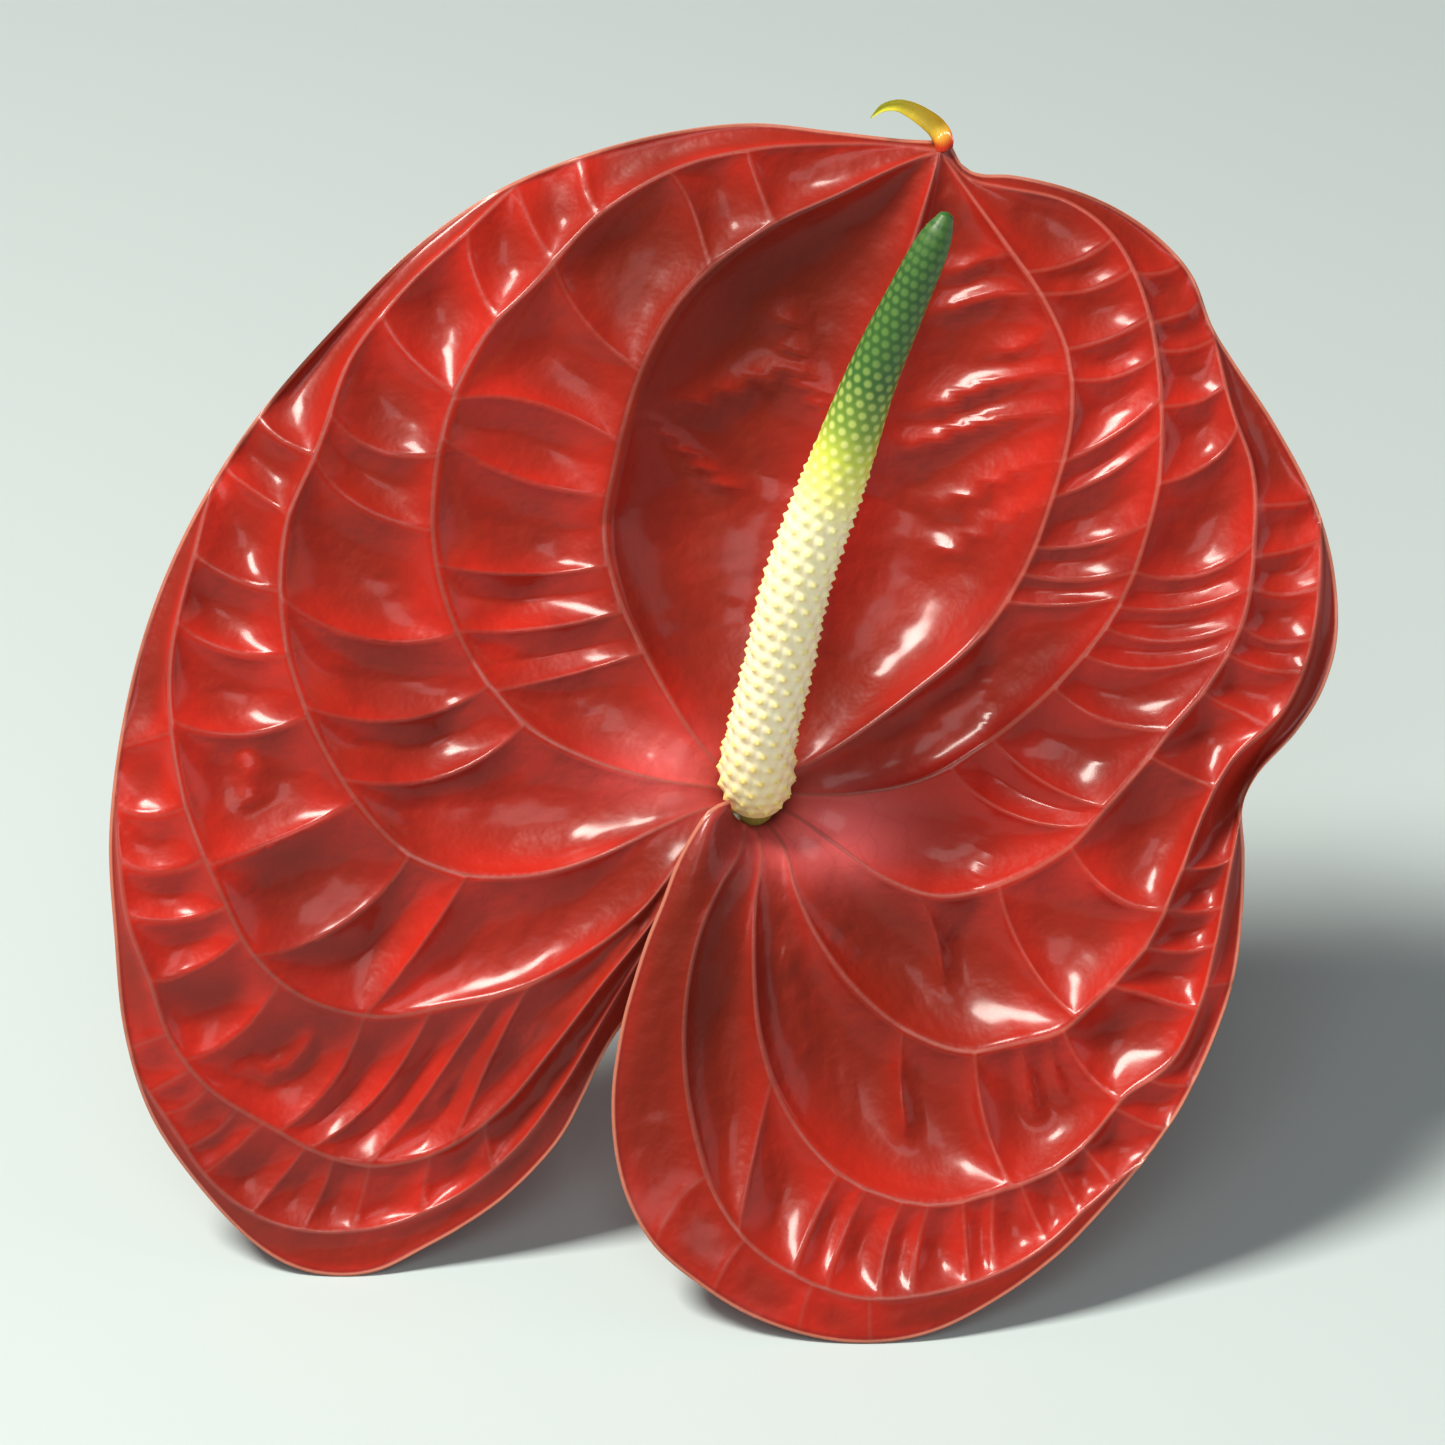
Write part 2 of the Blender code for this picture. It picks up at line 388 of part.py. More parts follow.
def to_world(x, y, z, height):
    """Points of the spathe's plane, in metres of the world."""
    along = np.array([0.0, math.sin(LEAN), math.cos(LEAN)])
    out = np.array([0.0, -math.cos(LEAN), math.sin(LEAN)])
    flat = np.stack([x, np.zeros_like(x), np.zeros_like(x)], axis=-1)
    place = flat + y[..., None] * along + z[..., None] * out + np.array([0.0, 0.0, height])
    return place * MM


def joined_columns(guides, band_columns):
    """For each row, the first and the last column of the blade's grid that stand apart.

    Past the row where a vein joins the margin, the columns outside it all fall on the margin.
    """
    starts = np.concatenate([[0], np.cumsum(band_columns)])
    half = len(guides) // 2
    on_left = np.linalg.norm(guides[:half] - guides[0], axis=2) < 1e-9
    on_right = np.linalg.norm(guides[half + 1:] - guides[-1], axis=2) < 1e-9
    first = starts[on_left.sum(axis=0) - 1]
    last = starts[len(guides) - on_right.sum(axis=0)]
    return first, last


def shell_faces(columns, rows, first, last):
    """The faces of a blade: its front, its back and the strip round its edge.

    Columns that have joined the margin use its points, and the triangles that this leaves without an
    area are dropped. Front and back are split into the same triangles.
    """
    count = columns * rows
    column, row = np.meshgrid(np.arange(columns), np.arange(rows), indexing="ij")
    index = np.clip(column, first[None, :], last[None, :]) * rows + row
    a, b = index[:-1, :-1].ravel(), index[1:, :-1].ravel()
    c, d = index[1:, 1:].ravel(), index[:-1, 1:].ravel()
    front = np.concatenate([np.stack([a, c, b], axis=1), np.stack([a, d, c], axis=1)])
    loop = np.concatenate([index[0], index[1:, -1], index[-1, -2::-1], index[-2:0:-1, 0]])
    after = np.roll(loop, -1)
    strip = np.concatenate([np.stack([loop, after + count, after], axis=1),
                            np.stack([loop, loop + count, after + count], axis=1)])
    faces = np.concatenate([front, front[:, ::-1] + count, strip])
    whole = np.concatenate([front, front])
    kept = (whole[:, 0] != whole[:, 1]) & (whole[:, 1] != whole[:, 2]) & (whole[:, 0] != whole[:, 2])
    kept = np.concatenate([kept, np.tile(loop != after, 2)])
    return faces[kept]


def tube(line, radii, sides, twist=0.0):
    """Rings of points round a line, as an array of rings by sides.

    radii holds the two half widths of each ring, sideways and upwards.
    """
    line = np.array(line, float)
    along = np.gradient(line, axis=0)
    along /= np.linalg.norm(along, axis=1)[:, None]
    side = np.cross(along, np.array([0.0, 0.0, 1.0]))
    side /= np.linalg.norm(side, axis=1)[:, None]
    up = np.cross(side, along)
    turn = np.arange(sides) * 2 * np.pi / sides + twist
    radii = np.array(radii, float)
    rings = line[:, None, :] + radii[:, :1, None] * np.cos(turn)[None, :, None] * side[:, None, :]
    rings = rings + radii[:, 1:, None] * np.sin(turn)[None, :, None] * up[:, None, :]
    return rings


def tube_faces(rings, sides, pyramids=False):
    """Faces of a closed tube. With pyramids, each cell is split between its two low corners."""
    faces = []
    for i in range(rings - 1):
        for j in range(sides):
            a, b = i * sides + j, i * sides + (j + 1) % sides
            c, d = b + sides, a + sides
            if pyramids and (i + j) % 2 == 0:
                faces += [(a, d, b), (b, d, c)]
            else:
                faces += [(a, c, b), (a, d, c)]
    foot, head = rings * sides, rings * sides + 1
    for j in range(sides):
        k = (j + 1) % sides
        faces.append((foot, j, k))
        faces.append((head, (rings - 1) * sides + k, (rings - 1) * sides + j))
    return faces


def closed_tube(rings, head, pyramids=False):
    """The points and faces of a tube closed at its foot and at its head."""
    count, sides = rings.shape[:2]
    points = np.concatenate([rings.reshape(-1, 3), rings[0].mean(axis=0)[None], np.array([head])])
    return points, tube_faces(count, sides, pyramids)


def add_object(name, points, faces, material):
    """A mesh object from points in metres and faces."""
    mesh = bpy.data.meshes.new(name)
    used, faces = np.unique(np.array(faces), return_inverse=True)
    mesh.from_pydata(points[used].tolist(), [], faces.reshape(-1, 3).tolist())
    mesh.validate()
    mesh.shade_smooth()
    obj = bpy.data.objects.new(name, mesh)
    bpy.context.scene.collection.objects.link(obj)
    obj.data.materials.append(material)
    return obj


def make_material(name, colour, roughness):
    """A plain finish."""
    material = bpy.data.materials.new(name)
    material.use_nodes = True
    shader = material.node_tree.nodes["Principled BSDF"]
    shader.inputs["Base Color"].default_value = (*colour, 1.0)
    shader.inputs["Roughness"].default_value = roughness
    shader.inputs["Metallic"].default_value = 0.0
    return material


def clear_scene():
    """Removes the objects that the file starts with."""
    for obj in list(bpy.data.objects):
        bpy.data.objects.remove(obj)


def blade_points():
    """The middle surface of the blade in its own plane, in millimetres, and the faces of its shell."""
    guides = guide_curves(ROWS)
    x, y, place, across, width = blade_plan(guides, BAND_COLUMNS)
    z = blade_height(x, y, place, across, width, guides)
    first, last = joined_columns(guides, BAND_COLUMNS)
    return x, y, z, shell_faces(*x.shape, first, last)


def junction_height(x, y, z):
    """How high the stem meets the spathe when the lobes are pressed flat on the table."""
    lowest = (y * math.cos(LEAN) + (z - THICKNESS / 2) * math.sin(LEAN)).min()
    return -lowest - PRESSED


def make_spathe(x, y, z, faces, height, material):
    """The blade with its drip tip, joined in one solid."""
    front = to_world(x, y, z + THICKNESS / 2, height)
    back = to_world(x, y, z - THICKNESS / 2, height)
    points = np.concatenate([front.reshape(-1, 3), back.reshape(-1, 3)])
    points[:, 2] = np.maximum(points[:, 2], 0.0)
    spathe = add_object("spathe", points, faces, material)

    line = smooth_points(DRIP_TIP, DRIP_TIP_RINGS)
    shares = np.linspace(0, 1, len(DRIP_TIP_WIDTHS))
    widths = np.array(DRIP_TIP_WIDTHS)
    radii = [[np.interp(s, shares, widths[:, 0]), np.interp(s, shares, widths[:, 1])]
             for s in np.linspace(0, 1, len(line))]
    rings = tube(line, radii, DRIP_TIP_SIDES)
    end = line[-1] + DRIP_TIP_END * (line[-1] - line[-2])
    local, faces = closed_tube(rings, end)
    horn = add_object("horn", to_world(local[:, 0], local[:, 1], local[:, 2], height), faces, material)

    joined = spathe.modifiers.new("drip tip", "BOOLEAN")
    joined.operation = "UNION"
    joined.solver = "EXACT"
    joined.object = horn
    evaluated = spathe.evaluated_get(bpy.context.evaluated_depsgraph_get())
    mesh = bpy.data.meshes.new_from_object(evaluated)
    spathe.modifiers.clear()
    spathe.data = mesh
    bpy.data.objects.remove(horn)
    return spathe


def make_spadix(height, material):
    """The spike, with a floret raised at every second point of its grid."""
    line = smooth_points(SPADIX_AXIS, SPADIX_ROWS)
    shares = np.array(SPADIX_TAPER)
    along = np.linspace(0.0, shares[-1, 0], SPADIX_ROWS)
    radius = SPADIX_RADIUS * np.interp(along, shares[:, 0], shares[:, 1])
    smooth = tube(line, np.stack([radius, radius], axis=1), SPADIX_AROUND)
    outward = smooth - line[:, None, :]
    outward /= np.linalg.norm(outward, axis=2)[..., None]
    row, turn = np.meshgrid(np.arange(SPADIX_ROWS), np.arange(SPADIX_AROUND), indexing="ij")
    raised = (row + turn) % 2 == 1
    size = np.clip(radius / SPADIX_RADIUS, SMALLEST_FLORET, 1.0)[:, None]
    inside = (row > 1) & (row < SPADIX_ROWS - 1)
    rings = smooth + outward * (np.where(raised & inside, FLORET_HEIGHT, 0.0) * size)[..., None]
    lead = (line[-1] - line[-2]) / np.linalg.norm(line[-1] - line[-2])
    end = line[-1] + lead * radius[-1] * SPADIX_END
    local, faces = closed_tube(rings, end, pyramids=True)
    return add_object("spadix", to_world(local[:, 0], local[:, 1], local[:, 2], height), faces, material)


def stem_line(height):
    """The stem's middle line in millimetres of the world, from its collar to its cut end."""
    flat = np.array(SPADIX_AXIS, float)
    lead = flat[1] - flat[0]
    lead /= np.linalg.norm(lead)
    seat = flat[0] - lead * SEAT_GAP
    inner = np.array([seat, seat - lead * STEM_NECK_LEAD, *STEM_NECK])
    near = to_world(inner[:, 0], inner[:, 1], inner[:, 2], height) / MM
    start, low = near[-1], STEM_END_RADIUS
    q = np.linspace(0.0, 1.0, STEM_FALL_POINTS)[1:, None]
    a = start + np.array([0.0, math.cos(LEAN), -math.sin(LEAN)]) * STEM_FALL_START
    b = np.array([0.0, STEM_FALL * STEM_FALL_END, low])
    c = np.array([0.0, STEM_FALL, low])
    falling = (1 - q)**3 * start + 3 * (1 - q)**2 * q * a + 3 * (1 - q) * q**2 * b + q**3 * c
    run = np.linspace(0.0, 1.0, STEM_TABLE_POINTS)[1:]
    ahead = STEM_FALL + STEM_LENGTH_ON_TABLE * run
    lying = np.stack([-STEM_SWAY * run**2, ahead, np.full(run.shape, low)], axis=1)
    return np.concatenate([near, falling, lying])


def make_stem(height, material):
    """The stem: a collar under the spadix, a bend down to the table and a straight run with a cut end."""
    line = stem_line(height)
    length = np.concatenate([[0.0], np.cumsum(np.linalg.norm(np.diff(line, axis=0), axis=1))])
    radius = STEM_TOP_RADIUS + (STEM_END_RADIUS - STEM_TOP_RADIUS) * length / length[-1]
    radius = radius + (STEM_COLLAR_RADIUS - STEM_TOP_RADIUS) * np.exp(-(length / STEM_COLLAR_LENGTH) ** 2)
    line[:, 2] = np.where(line[:, 2] <= STEM_END_RADIUS + 1e-6, radius, line[:, 2])
    rings = tube(line, np.stack([radius, radius], axis=1), STEM_SIDES, twist=math.pi / STEM_SIDES)
    points, faces = closed_tube(rings, rings[-1].mean(axis=0))
    points[:, 2] = np.maximum(points[:, 2], 0.0)
    return add_object("stem", points * MM, faces, material)


def centre_on_origin(objects):
    """Moves the flower sideways until the middle of its box stands over the origin."""
    corners = np.array([obj.matrix_world @ vertex.co for obj in objects for vertex in obj.data.vertices])
    middle = (corners.min(axis=0) + corners.max(axis=0)) / 2
    for obj in objects:
        obj.location = (-middle[0], -middle[1], 0.0)


def main():
    """Builds the flower."""
    clear_scene()
    red = make_material("spathe_red", (0.45, 0.01, 0.008), 0.18)
    cream = make_material("spadix_cream_to_green", (0.75, 0.68, 0.32), 0.5)
    green = make_material("stem_green", (0.12, 0.22, 0.05), 0.4)
    x, y, z, faces = blade_points()
    height = junction_height(x, y, z)
    flower = [make_spathe(x, y, z, faces, height, red), make_spadix(height, cream), make_stem(height, green)]
    centre_on_origin(flower)


main()
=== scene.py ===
"""The looks of a cut anthurium flower that lies on a table.

The flower is drawn in the spathe's own plane, in millimetres: x to the right, y towards the drip tip, z out
of the face, with the origin where the stem meets the spathe. The plane leans back, and the flower stands on
its two lobes and on the stem behind them. Meshes are in metres of the world, +Z up.
"""

import logging
import math
from dataclasses import dataclass, field
from enum import Enum

import bpy
import numpy as np
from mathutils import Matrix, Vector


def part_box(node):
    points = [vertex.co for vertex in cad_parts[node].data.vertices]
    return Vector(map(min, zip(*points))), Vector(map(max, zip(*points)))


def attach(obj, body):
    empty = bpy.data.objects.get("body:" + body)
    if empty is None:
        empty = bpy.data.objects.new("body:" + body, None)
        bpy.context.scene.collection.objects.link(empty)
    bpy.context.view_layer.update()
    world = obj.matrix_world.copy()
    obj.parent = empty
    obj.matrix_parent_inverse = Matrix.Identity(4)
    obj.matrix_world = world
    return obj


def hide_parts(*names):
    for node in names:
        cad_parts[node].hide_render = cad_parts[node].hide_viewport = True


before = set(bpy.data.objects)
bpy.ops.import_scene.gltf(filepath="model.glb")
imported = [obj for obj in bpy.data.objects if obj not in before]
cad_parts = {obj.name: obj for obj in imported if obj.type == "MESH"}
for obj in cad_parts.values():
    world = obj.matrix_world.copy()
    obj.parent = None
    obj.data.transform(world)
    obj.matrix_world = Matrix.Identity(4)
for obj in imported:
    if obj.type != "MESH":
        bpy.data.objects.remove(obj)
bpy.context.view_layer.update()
LOG = logging.getLogger("anthurium")
MM = 0.001

# A distance past every other one, and what counts as nothing, as touching and as joined
FAR = 1e9
TINY = 1e-12
TOUCHING = 1e-9
JOINED = 1e-7

# How many places of a smooth curve are worked out for each of its points
CURVE_DETAIL = 30

Points = list[tuple[float, ...]]
Ovals = tuple[tuple[float, ...], ...]
Pair = tuple[float, float]
Place = tuple[float, float, float]
Colour = tuple[float, float, float]
Stops = tuple[tuple[float, Colour], ...]


class VeinKind(Enum):
    """How a main vein ends: on the margin, or at the drip tip."""

    OUTER = "outer"
    INNER = "inner"


class Side(Enum):
    """The two faces of the spathe, as the numbers of their material slots."""

    FRONT = 0
    BACK = 1


# The edges of the sinus, from the stem to the foot of each lobe
SINUS_LEFT: Points = [
    (-4.0, -6.6), (-6.6, -11.0), (-9.8, -16.0), (-13.4, -21.0), (-16.6, -25.4), (-18.6, -29.0),
    (-20.4, -32.8), (-22.6, -37.0), (-25.2, -40.4), (-30.0, -45.1), (-35.0, -48.6), (-40.0, -51.4),
    (-45.0, -53.9)]
SINUS_RIGHT: Points = [
    (-5.0, 0.3), (-7.2, -2.0), (-9.2, -5.2), (-10.7, -8.9), (-12.6, -13.5), (-14.3, -18.8),
    (-15.4, -22.8), (-16.1, -26.5), (-16.7, -31.0), (-16.7, -36.0), (-16.0, -41.0), (-14.6, -45.3),
    (-11.6, -50.2)]

# The outer margin, from the foot of each lobe to the drip tip
MARGIN_LEFT: Points = [
    (-49.5, -54.6), (-55.0, -53.7), (-60.0, -50.8), (-66.5, -44.0), (-72.4, -35.0), (-75.3, -25.0),
    (-76.3, -13.0), (-76.8, -1.0), (-75.2, 12.5), (-72.0, 25.0), (-67.0, 36.6), (-60.0, 47.8),
    (-50.0, 59.5), (-40.0, 69.4), (-30.0, 76.2), (-20.0, 80.3), (-10.0, 82.9), (0.0, 84.0),
    (10.0, 83.0), (18.0, 82.1)]
MARGIN_RIGHT: Points = [
    (-6.0, -54.9), (0.0, -58.5), (8.0, -61.1), (15.0, -61.6), (22.0, -60.2), (30.0, -56.0),
    (36.5, -51.2), (40.0, -47.8), (46.0, -41.0), (51.0, -34.0), (55.2, -25.3), (57.6, -18.0),
    (58.6, -10.0), (58.8, -3.0), (58.6, 2.5), (60.2, 6.0), (65.0, 11.3), (68.0, 16.0), (69.8, 22.0),
    (69.6, 30.0), (67.4, 38.5), (62.5, 48.0), (57.5, 55.6), (55.0, 59.7), (52.6, 65.8), (49.0, 70.0),
    (44.0, 73.6), (38.0, 76.2), (31.0, 77.8), (27.0, 78.0), (25.2, 78.9)]

# The main veins, in order from the left edge of the sinus to the right one. The outer ones join the margin
# a little past their last point, and the inner ones run to the drip tip.
VEINS: list[tuple[VeinKind, Points]] = [
    (VeinKind.OUTER, [
        (-5.0, -5.4), (-8.6, -9.4), (-13.4, -15.8), (-18.0, -23.4), (-22.5, -31.0), (-28.5, -39.0),
        (-36.0, -45.0), (-45.0, -48.6), (-54.5, -48.9), (-61.0, -46.5), (-66.0, -42.2), (-69.5, -36.8)]),
    (VeinKind.OUTER, [
        (-4.9, -3.6), (-8.7, -7.4), (-13.4, -13.4), (-18.0, -19.0), (-23.5, -26.2), (-30.0, -34.0),
        (-37.0, -39.0), (-45.0, -41.1), (-51.5, -39.8), (-58.0, -36.3), (-65.2, -31.6), (-69.6, -25.8),
        (-72.2, -18.0), (-74.6, -11.0), (-75.6, -3.0)]),
    (VeinKind.OUTER, [
        (-4.9, -2.0), (-8.4, -4.6), (-12.9, -9.8), (-19.4, -15.0), (-28.0, -19.5), (-37.0, -21.7),
        (-45.0, -22.9), (-53.4, -20.7), (-59.5, -15.5), (-63.4, -7.8), (-66.9, 0.6), (-69.1, 10.5),
        (-69.2, 21.0), (-66.6, 32.4)]),
    (VeinKind.OUTER, [
        (-5.2, 0.4), (-9.9, -0.2), (-19.4, -4.0), (-26.5, -5.9), (-34.1, -5.8), (-41.2, -3.2),
        (-47.6, 3.6), (-53.0, 13.4), (-55.9, 24.0), (-55.6, 35.5), (-51.6, 45.4), (-47.8, 56.0),
        (-41.4, 64.2), (-33.8, 71.2)]),
    (VeinKind.INNER, [
        (-4.6, 2.8), (-10.9, 5.2), (-19.4, 8.0), (-26.5, 11.8), (-33.2, 19.4), (-37.2, 29.0),
        (-38.1, 38.0), (-36.4, 48.6), (-32.2, 57.8), (-25.4, 65.2), (-18.7, 72.4), (-9.6, 78.2),
        (0.0, 80.7), (10.0, 81.4), (18.0, 81.3)]),
    (VeinKind.INNER, [
        (-3.2, 4.6), (-7.4, 11.2), (-12.3, 19.6), (-16.2, 28.1), (-17.7, 35.5), (-16.6, 42.5),
        (-13.8, 53.0), (-9.6, 61.4), (-4.6, 66.8), (2.6, 71.7), (10.6, 75.4), (17.7, 78.8)]),
    (VeinKind.INNER, [
        (1.1, 5.0), (5.0, 20.0), (9.5, 38.0), (14.3, 55.0), (19.0, 69.0), (21.6, 77.5)]),
    (VeinKind.INNER, [
        (3.8, 4.0), (10.6, 9.6), (19.4, 16.0), (27.1, 22.5), (32.4, 30.4), (35.9, 39.6), (38.1, 49.0),
        (37.4, 56.8), (34.6, 63.0), (30.5, 69.0), (26.2, 75.0)]),
    (VeinKind.INNER, [
        (4.6, 1.9), (11.7, 3.6), (20.5, 5.6), (29.5, 11.0), (37.0, 17.6), (43.2, 25.4), (46.9, 34.5),
        (48.6, 43.0), (48.5, 53.4), (46.7, 63.0), (43.0, 70.4), (37.5, 74.6), (30.0, 76.2),
        (26.2, 77.2)]),
    (VeinKind.OUTER, [
        (4.8, -0.5), (9.9, -2.6), (16.6, -6.6), (22.8, -8.4), (30.0, -6.8), (37.6, -2.6), (42.6, 2.7),
        (49.5, 11.0), (55.0, 17.8), (58.6, 25.0), (59.8, 34.0), (59.6, 42.5), (57.0, 50.4)]),
    (VeinKind.OUTER, [
        (3.9, -4.2), (5.2, -8.2), (7.9, -13.5), (12.5, -19.6), (18.4, -24.4), (25.3, -26.9),
        (31.6, -25.9), (36.9, -24.4), (42.0, -19.8), (47.2, -13.9), (51.0, -5.5), (54.0, 2.2),
        (57.4, 8.2), (63.0, 13.2), (66.2, 20.0), (67.6, 28.0)]),
    (VeinKind.OUTER, [
        (1.2, -5.2), (0.4, -9.5), (0.3, -19.0), (1.1, -26.1), (3.6, -33.2), (8.1, -39.5), (14.0, -43.5),
        (21.9, -45.2), (28.5, -43.8), (35.6, -41.2), (40.5, -37.2), (44.4, -32.3), (50.0, -28.2),
        (53.0, -22.5), (55.3, -14.0), (56.8, -6.0)]),
    (VeinKind.OUTER, [
        (-1.6, -5.2), (-3.9, -8.0), (-6.3, -13.0), (-7.8, -20.0), (-8.1, -28.0), (-7.0, -36.0),
        (-4.6, -43.6), (-0.8, -49.3), (4.9, -53.4), (12.4, -56.1), (20.0, -55.9), (28.0, -53.8),
        (34.5, -50.4), (40.0, -45.4)]),
]

# Cross veins that run from one main vein to the next, by the band that they cross, counted from the left
# edge of the sinus: where each starts and ends, and how far it bows to its right, as a share of its length
CROSS_VEINS: dict[int, Points] = {
    1: [(-74.2, -26.6, -70.8, -25.2, 0), (-73.2, -32.6, -68.4, -30, 0), (-71, -34.8, -66, -32.6, 0.1),
        (-68.7, -39, -62.4, -34.6, 0.1), (-65.9, -41.8, -59.2, -36.6, 0.0), (-60.2, -46.6, -54.2, -40, 0.0),
        (-54, -46.6, -51, -41.4, 0.1), (-48.6, -46.4, -46, -41.8, 0), (-40.8, -45, -38.8, -40.4, 0),
        (-33, -39.5, -32.4, -36, 0)],
    2: [(-75.2, 9.4, -69.2, 11, 0), (-75.6, 2.6, -67.4, 2, 0.12), (-75.2, -4.2, -64.9, -4, 0.12),
        (-74.8, -10.6, -64.2, -10.4, 0.1), (-72, -18.6, -62, -13.6, 0.1), (-67.5, -27.6, -57.4, -19.8, 0.12),
        (-56.8, -36.5, -46.7, -23.3, 0.1), (-52.5, -37.2, -37.4, -27.5, 0.04),
        (-46.5, -38.8, -29.6, -26.3, 0.06), (-37, -36.8, -24.6, -23.4, 0.05)],
    3: [(-57.3, 47.8, -52.5, 43.9, 0.03), (-62, 42.8, -55.6, 37.2, 0.04), (-66.4, 32.6, -56, 27.8, 0.06),
        (-68.6, 24.6, -55.6, 20.2, 0.1), (-69.1, 12.9, -53.4, 12.6, 0.12), (-64.3, -4.4, -47.6, 2.7, 0.03),
        (-57.6, -14, -41.9, -4.7, 0.15), (-46, -18, -34.3, -6.4, 0.08)],
    4: [(-33.6, 70.6, -30.6, 60.3, 0.08), (-41.3, 58.6, -35.8, 51.8, 0.05), (-48, 48.5, -37.8, 44.5, 0.2),
        (-52, 44, -38.2, 35.6, 0.12), (-55.6, 27.4, -36.2, 22.3, 0.15), (-46.5, 17, -33.5, 15.4, 0.22),
        (-43, 9.5, -29.6, 9.6, 0.26), (-26.6, 75, -23.7, 67.4, 0.06), (-19.9, 78.8, -19, 73, 0)],
    5: [(-23.6, 67, -13.6, 54.5, 0.08), (-30, 48.8, -16.2, 46, -0.16), (-29, 44.5, -17.8, 39.6, 0.10),
        (-27.5, 33, -18, 31, 0.08), (-27, 27, -17, 25, 0.1), (-25, 21, -14.5, 20, 0.1),
        (-9.6, 77.5, -5.2, 66.8, -0.08), (-0.5, 80, 2.2, 71.8, 0.0)],
    8: [(37.6, 57, 43.5, 59.8, 0.1), (38.2, 53.2, 44.8, 55.6, 0.15), (38.1, 48.8, 44.4, 51.2, 0.15),
        (35.7, 39.3, 46.4, 47, 0.08), (34.4, 33, 43.8, 37.2, 0.12), (33.2, 29.6, 43, 31.4, 0.1),
        (32, 26, 41, 29, 0.1), (34.4, 63.6, 42.2, 65, 0.15), (33, 66.5, 41, 68.5, 0.12),
        (37.4, 43.5, 46.5, 51, 0.05)],
    9: [(48.5, 40.8, 57.4, 47.8, 0.12), (48.7, 50, 53.6, 52, 0.15), (46.4, 30, 57.4, 34, 0.2),
        (42.4, 23.2, 56.2, 24.8, 0.15), (44, 26, 56, 29, 0.08), (40, 20.2, 55.4, 22, 0.2),
        (36.8, 16, 47.5, 13.6, 0.18), (29.4, 9.2, 39.6, 4.6, 0.08), (25, 4.8, 38, 2.4, 0.24),
        (48.3, 56.5, 53.6, 58, 0.1), (47.4, 60, 53.2, 63, 0.1), (45.4, 66, 50.5, 66.5, 0.1)],
    10: [(59.9, 32.4, 67.4, 34.2, 0.06), (58.4, 24.2, 67, 22.4, 0.16), (53.6, 15.8, 60.4, 13.4, 0.06),
         (47.4, 8.6, 54.4, 5.0, 0.02), (38.4, -2.6, 49.4, -9.8, 0.16), (29.6, -7, 38.6, -22.6, 0.09),
         (59.3, 28.4, 67.5, 28.6, 0.1), (56.8, 20.6, 66, 18.4, 0.1), (59.5, 38.5, 66.4, 39, 0.05)],
    11: [(37.6, -25, 44, -32.8, 0.09), (44.4, -20.4, 53, -21.8, -0.04), (26.6, -27.2, 30.9, -42.7, 0.06),
         (47.4, -14.8, 55.4, -14, 0.06), (49.4, -10, 56.4, -9.4, 0.06), (51.4, -5, 57, -3.6, 0.06)],
    12: [(9.8, -42.4, 5.2, -52.6, 0.02), (13.4, -44, 10, -52, 0.04), (17.6, -45.2, 15.2, -53.5, 0.04),
         (20.8, -45.6, 19, -55, 0.03), (25.3, -45.2, 25, -52, 0), (28.8, -44.2, 28.5, -53, 0),
         (32.4, -43, 35.2, -49.8, 0.04), (36.6, -41.2, 38.2, -45.2, 0), (40.2, -38.8, 42.8, -42.6, 0),
         (-0.4, -31, -0.6, -47.6, -0.06), (43.6, -33.6, 49, -36, 0), (47.5, -30, 52.4, -31, 0),
         (54, -19, 57.4, -18.6, 0)],
    13: [(-1.6, -49.6, -3.9, -54.4, 0), (-7.0, -42, -10.2, -49, 0.1), (7, -54.4, 6, -58.6, 0),
         (14, -56.2, 14, -60, 0)],
}

# Veins that end inside a band, written in the same way
SHORT_VEINS: Points = [
    (-60.3, 10.4, -59.8, 3.5, 0.0), (-61, -28.5, -53.5, -26, 0.26), (-7.5, 50.5, 3.6, 55.3, 0),
    (3.6, 55.3, 9, 49, -0.04), (-13, 49.5, -2.5, 40.5, 0.02), (4, 61.5, 9.5, 51, 0.1),
    (35.2, 59, 30.6, 56.8, -0.05), (37.8, 54, 22, 50, 0.08), (38, 49.5, 20, 45.5, 0.06),
    (37, 44, 24, 38.4, 0.06), (35.2, 38.5, 24, 33, 0.05), (35, 63, 24, 62, 0.1), (31.5, 68, 25, 66.5, 0.1),
    (19.6, -8, 22.8, -18, -0.08), (18, -24.6, 18.4, -36, 0.04), (31.8, -26.2, 33.6, -34, -0.03),
    (35.6, -25.2, 37, -31.5, 0.03)]

# Long low folds: on the left lobe, below its fourth vein, and in the right lobe
FOLDS: list[Points] = [
    [(-13.8, -12.0), (-15.9, -15.2), (-17.6, -18.0), (-20.0, -20.3), (-25.0, -23.8), (-30.0, -26.1),
     (-37.6, -32.1)],
    [(3.9, -15.5), (5.3, -20.8), (7.1, -26.1)]]

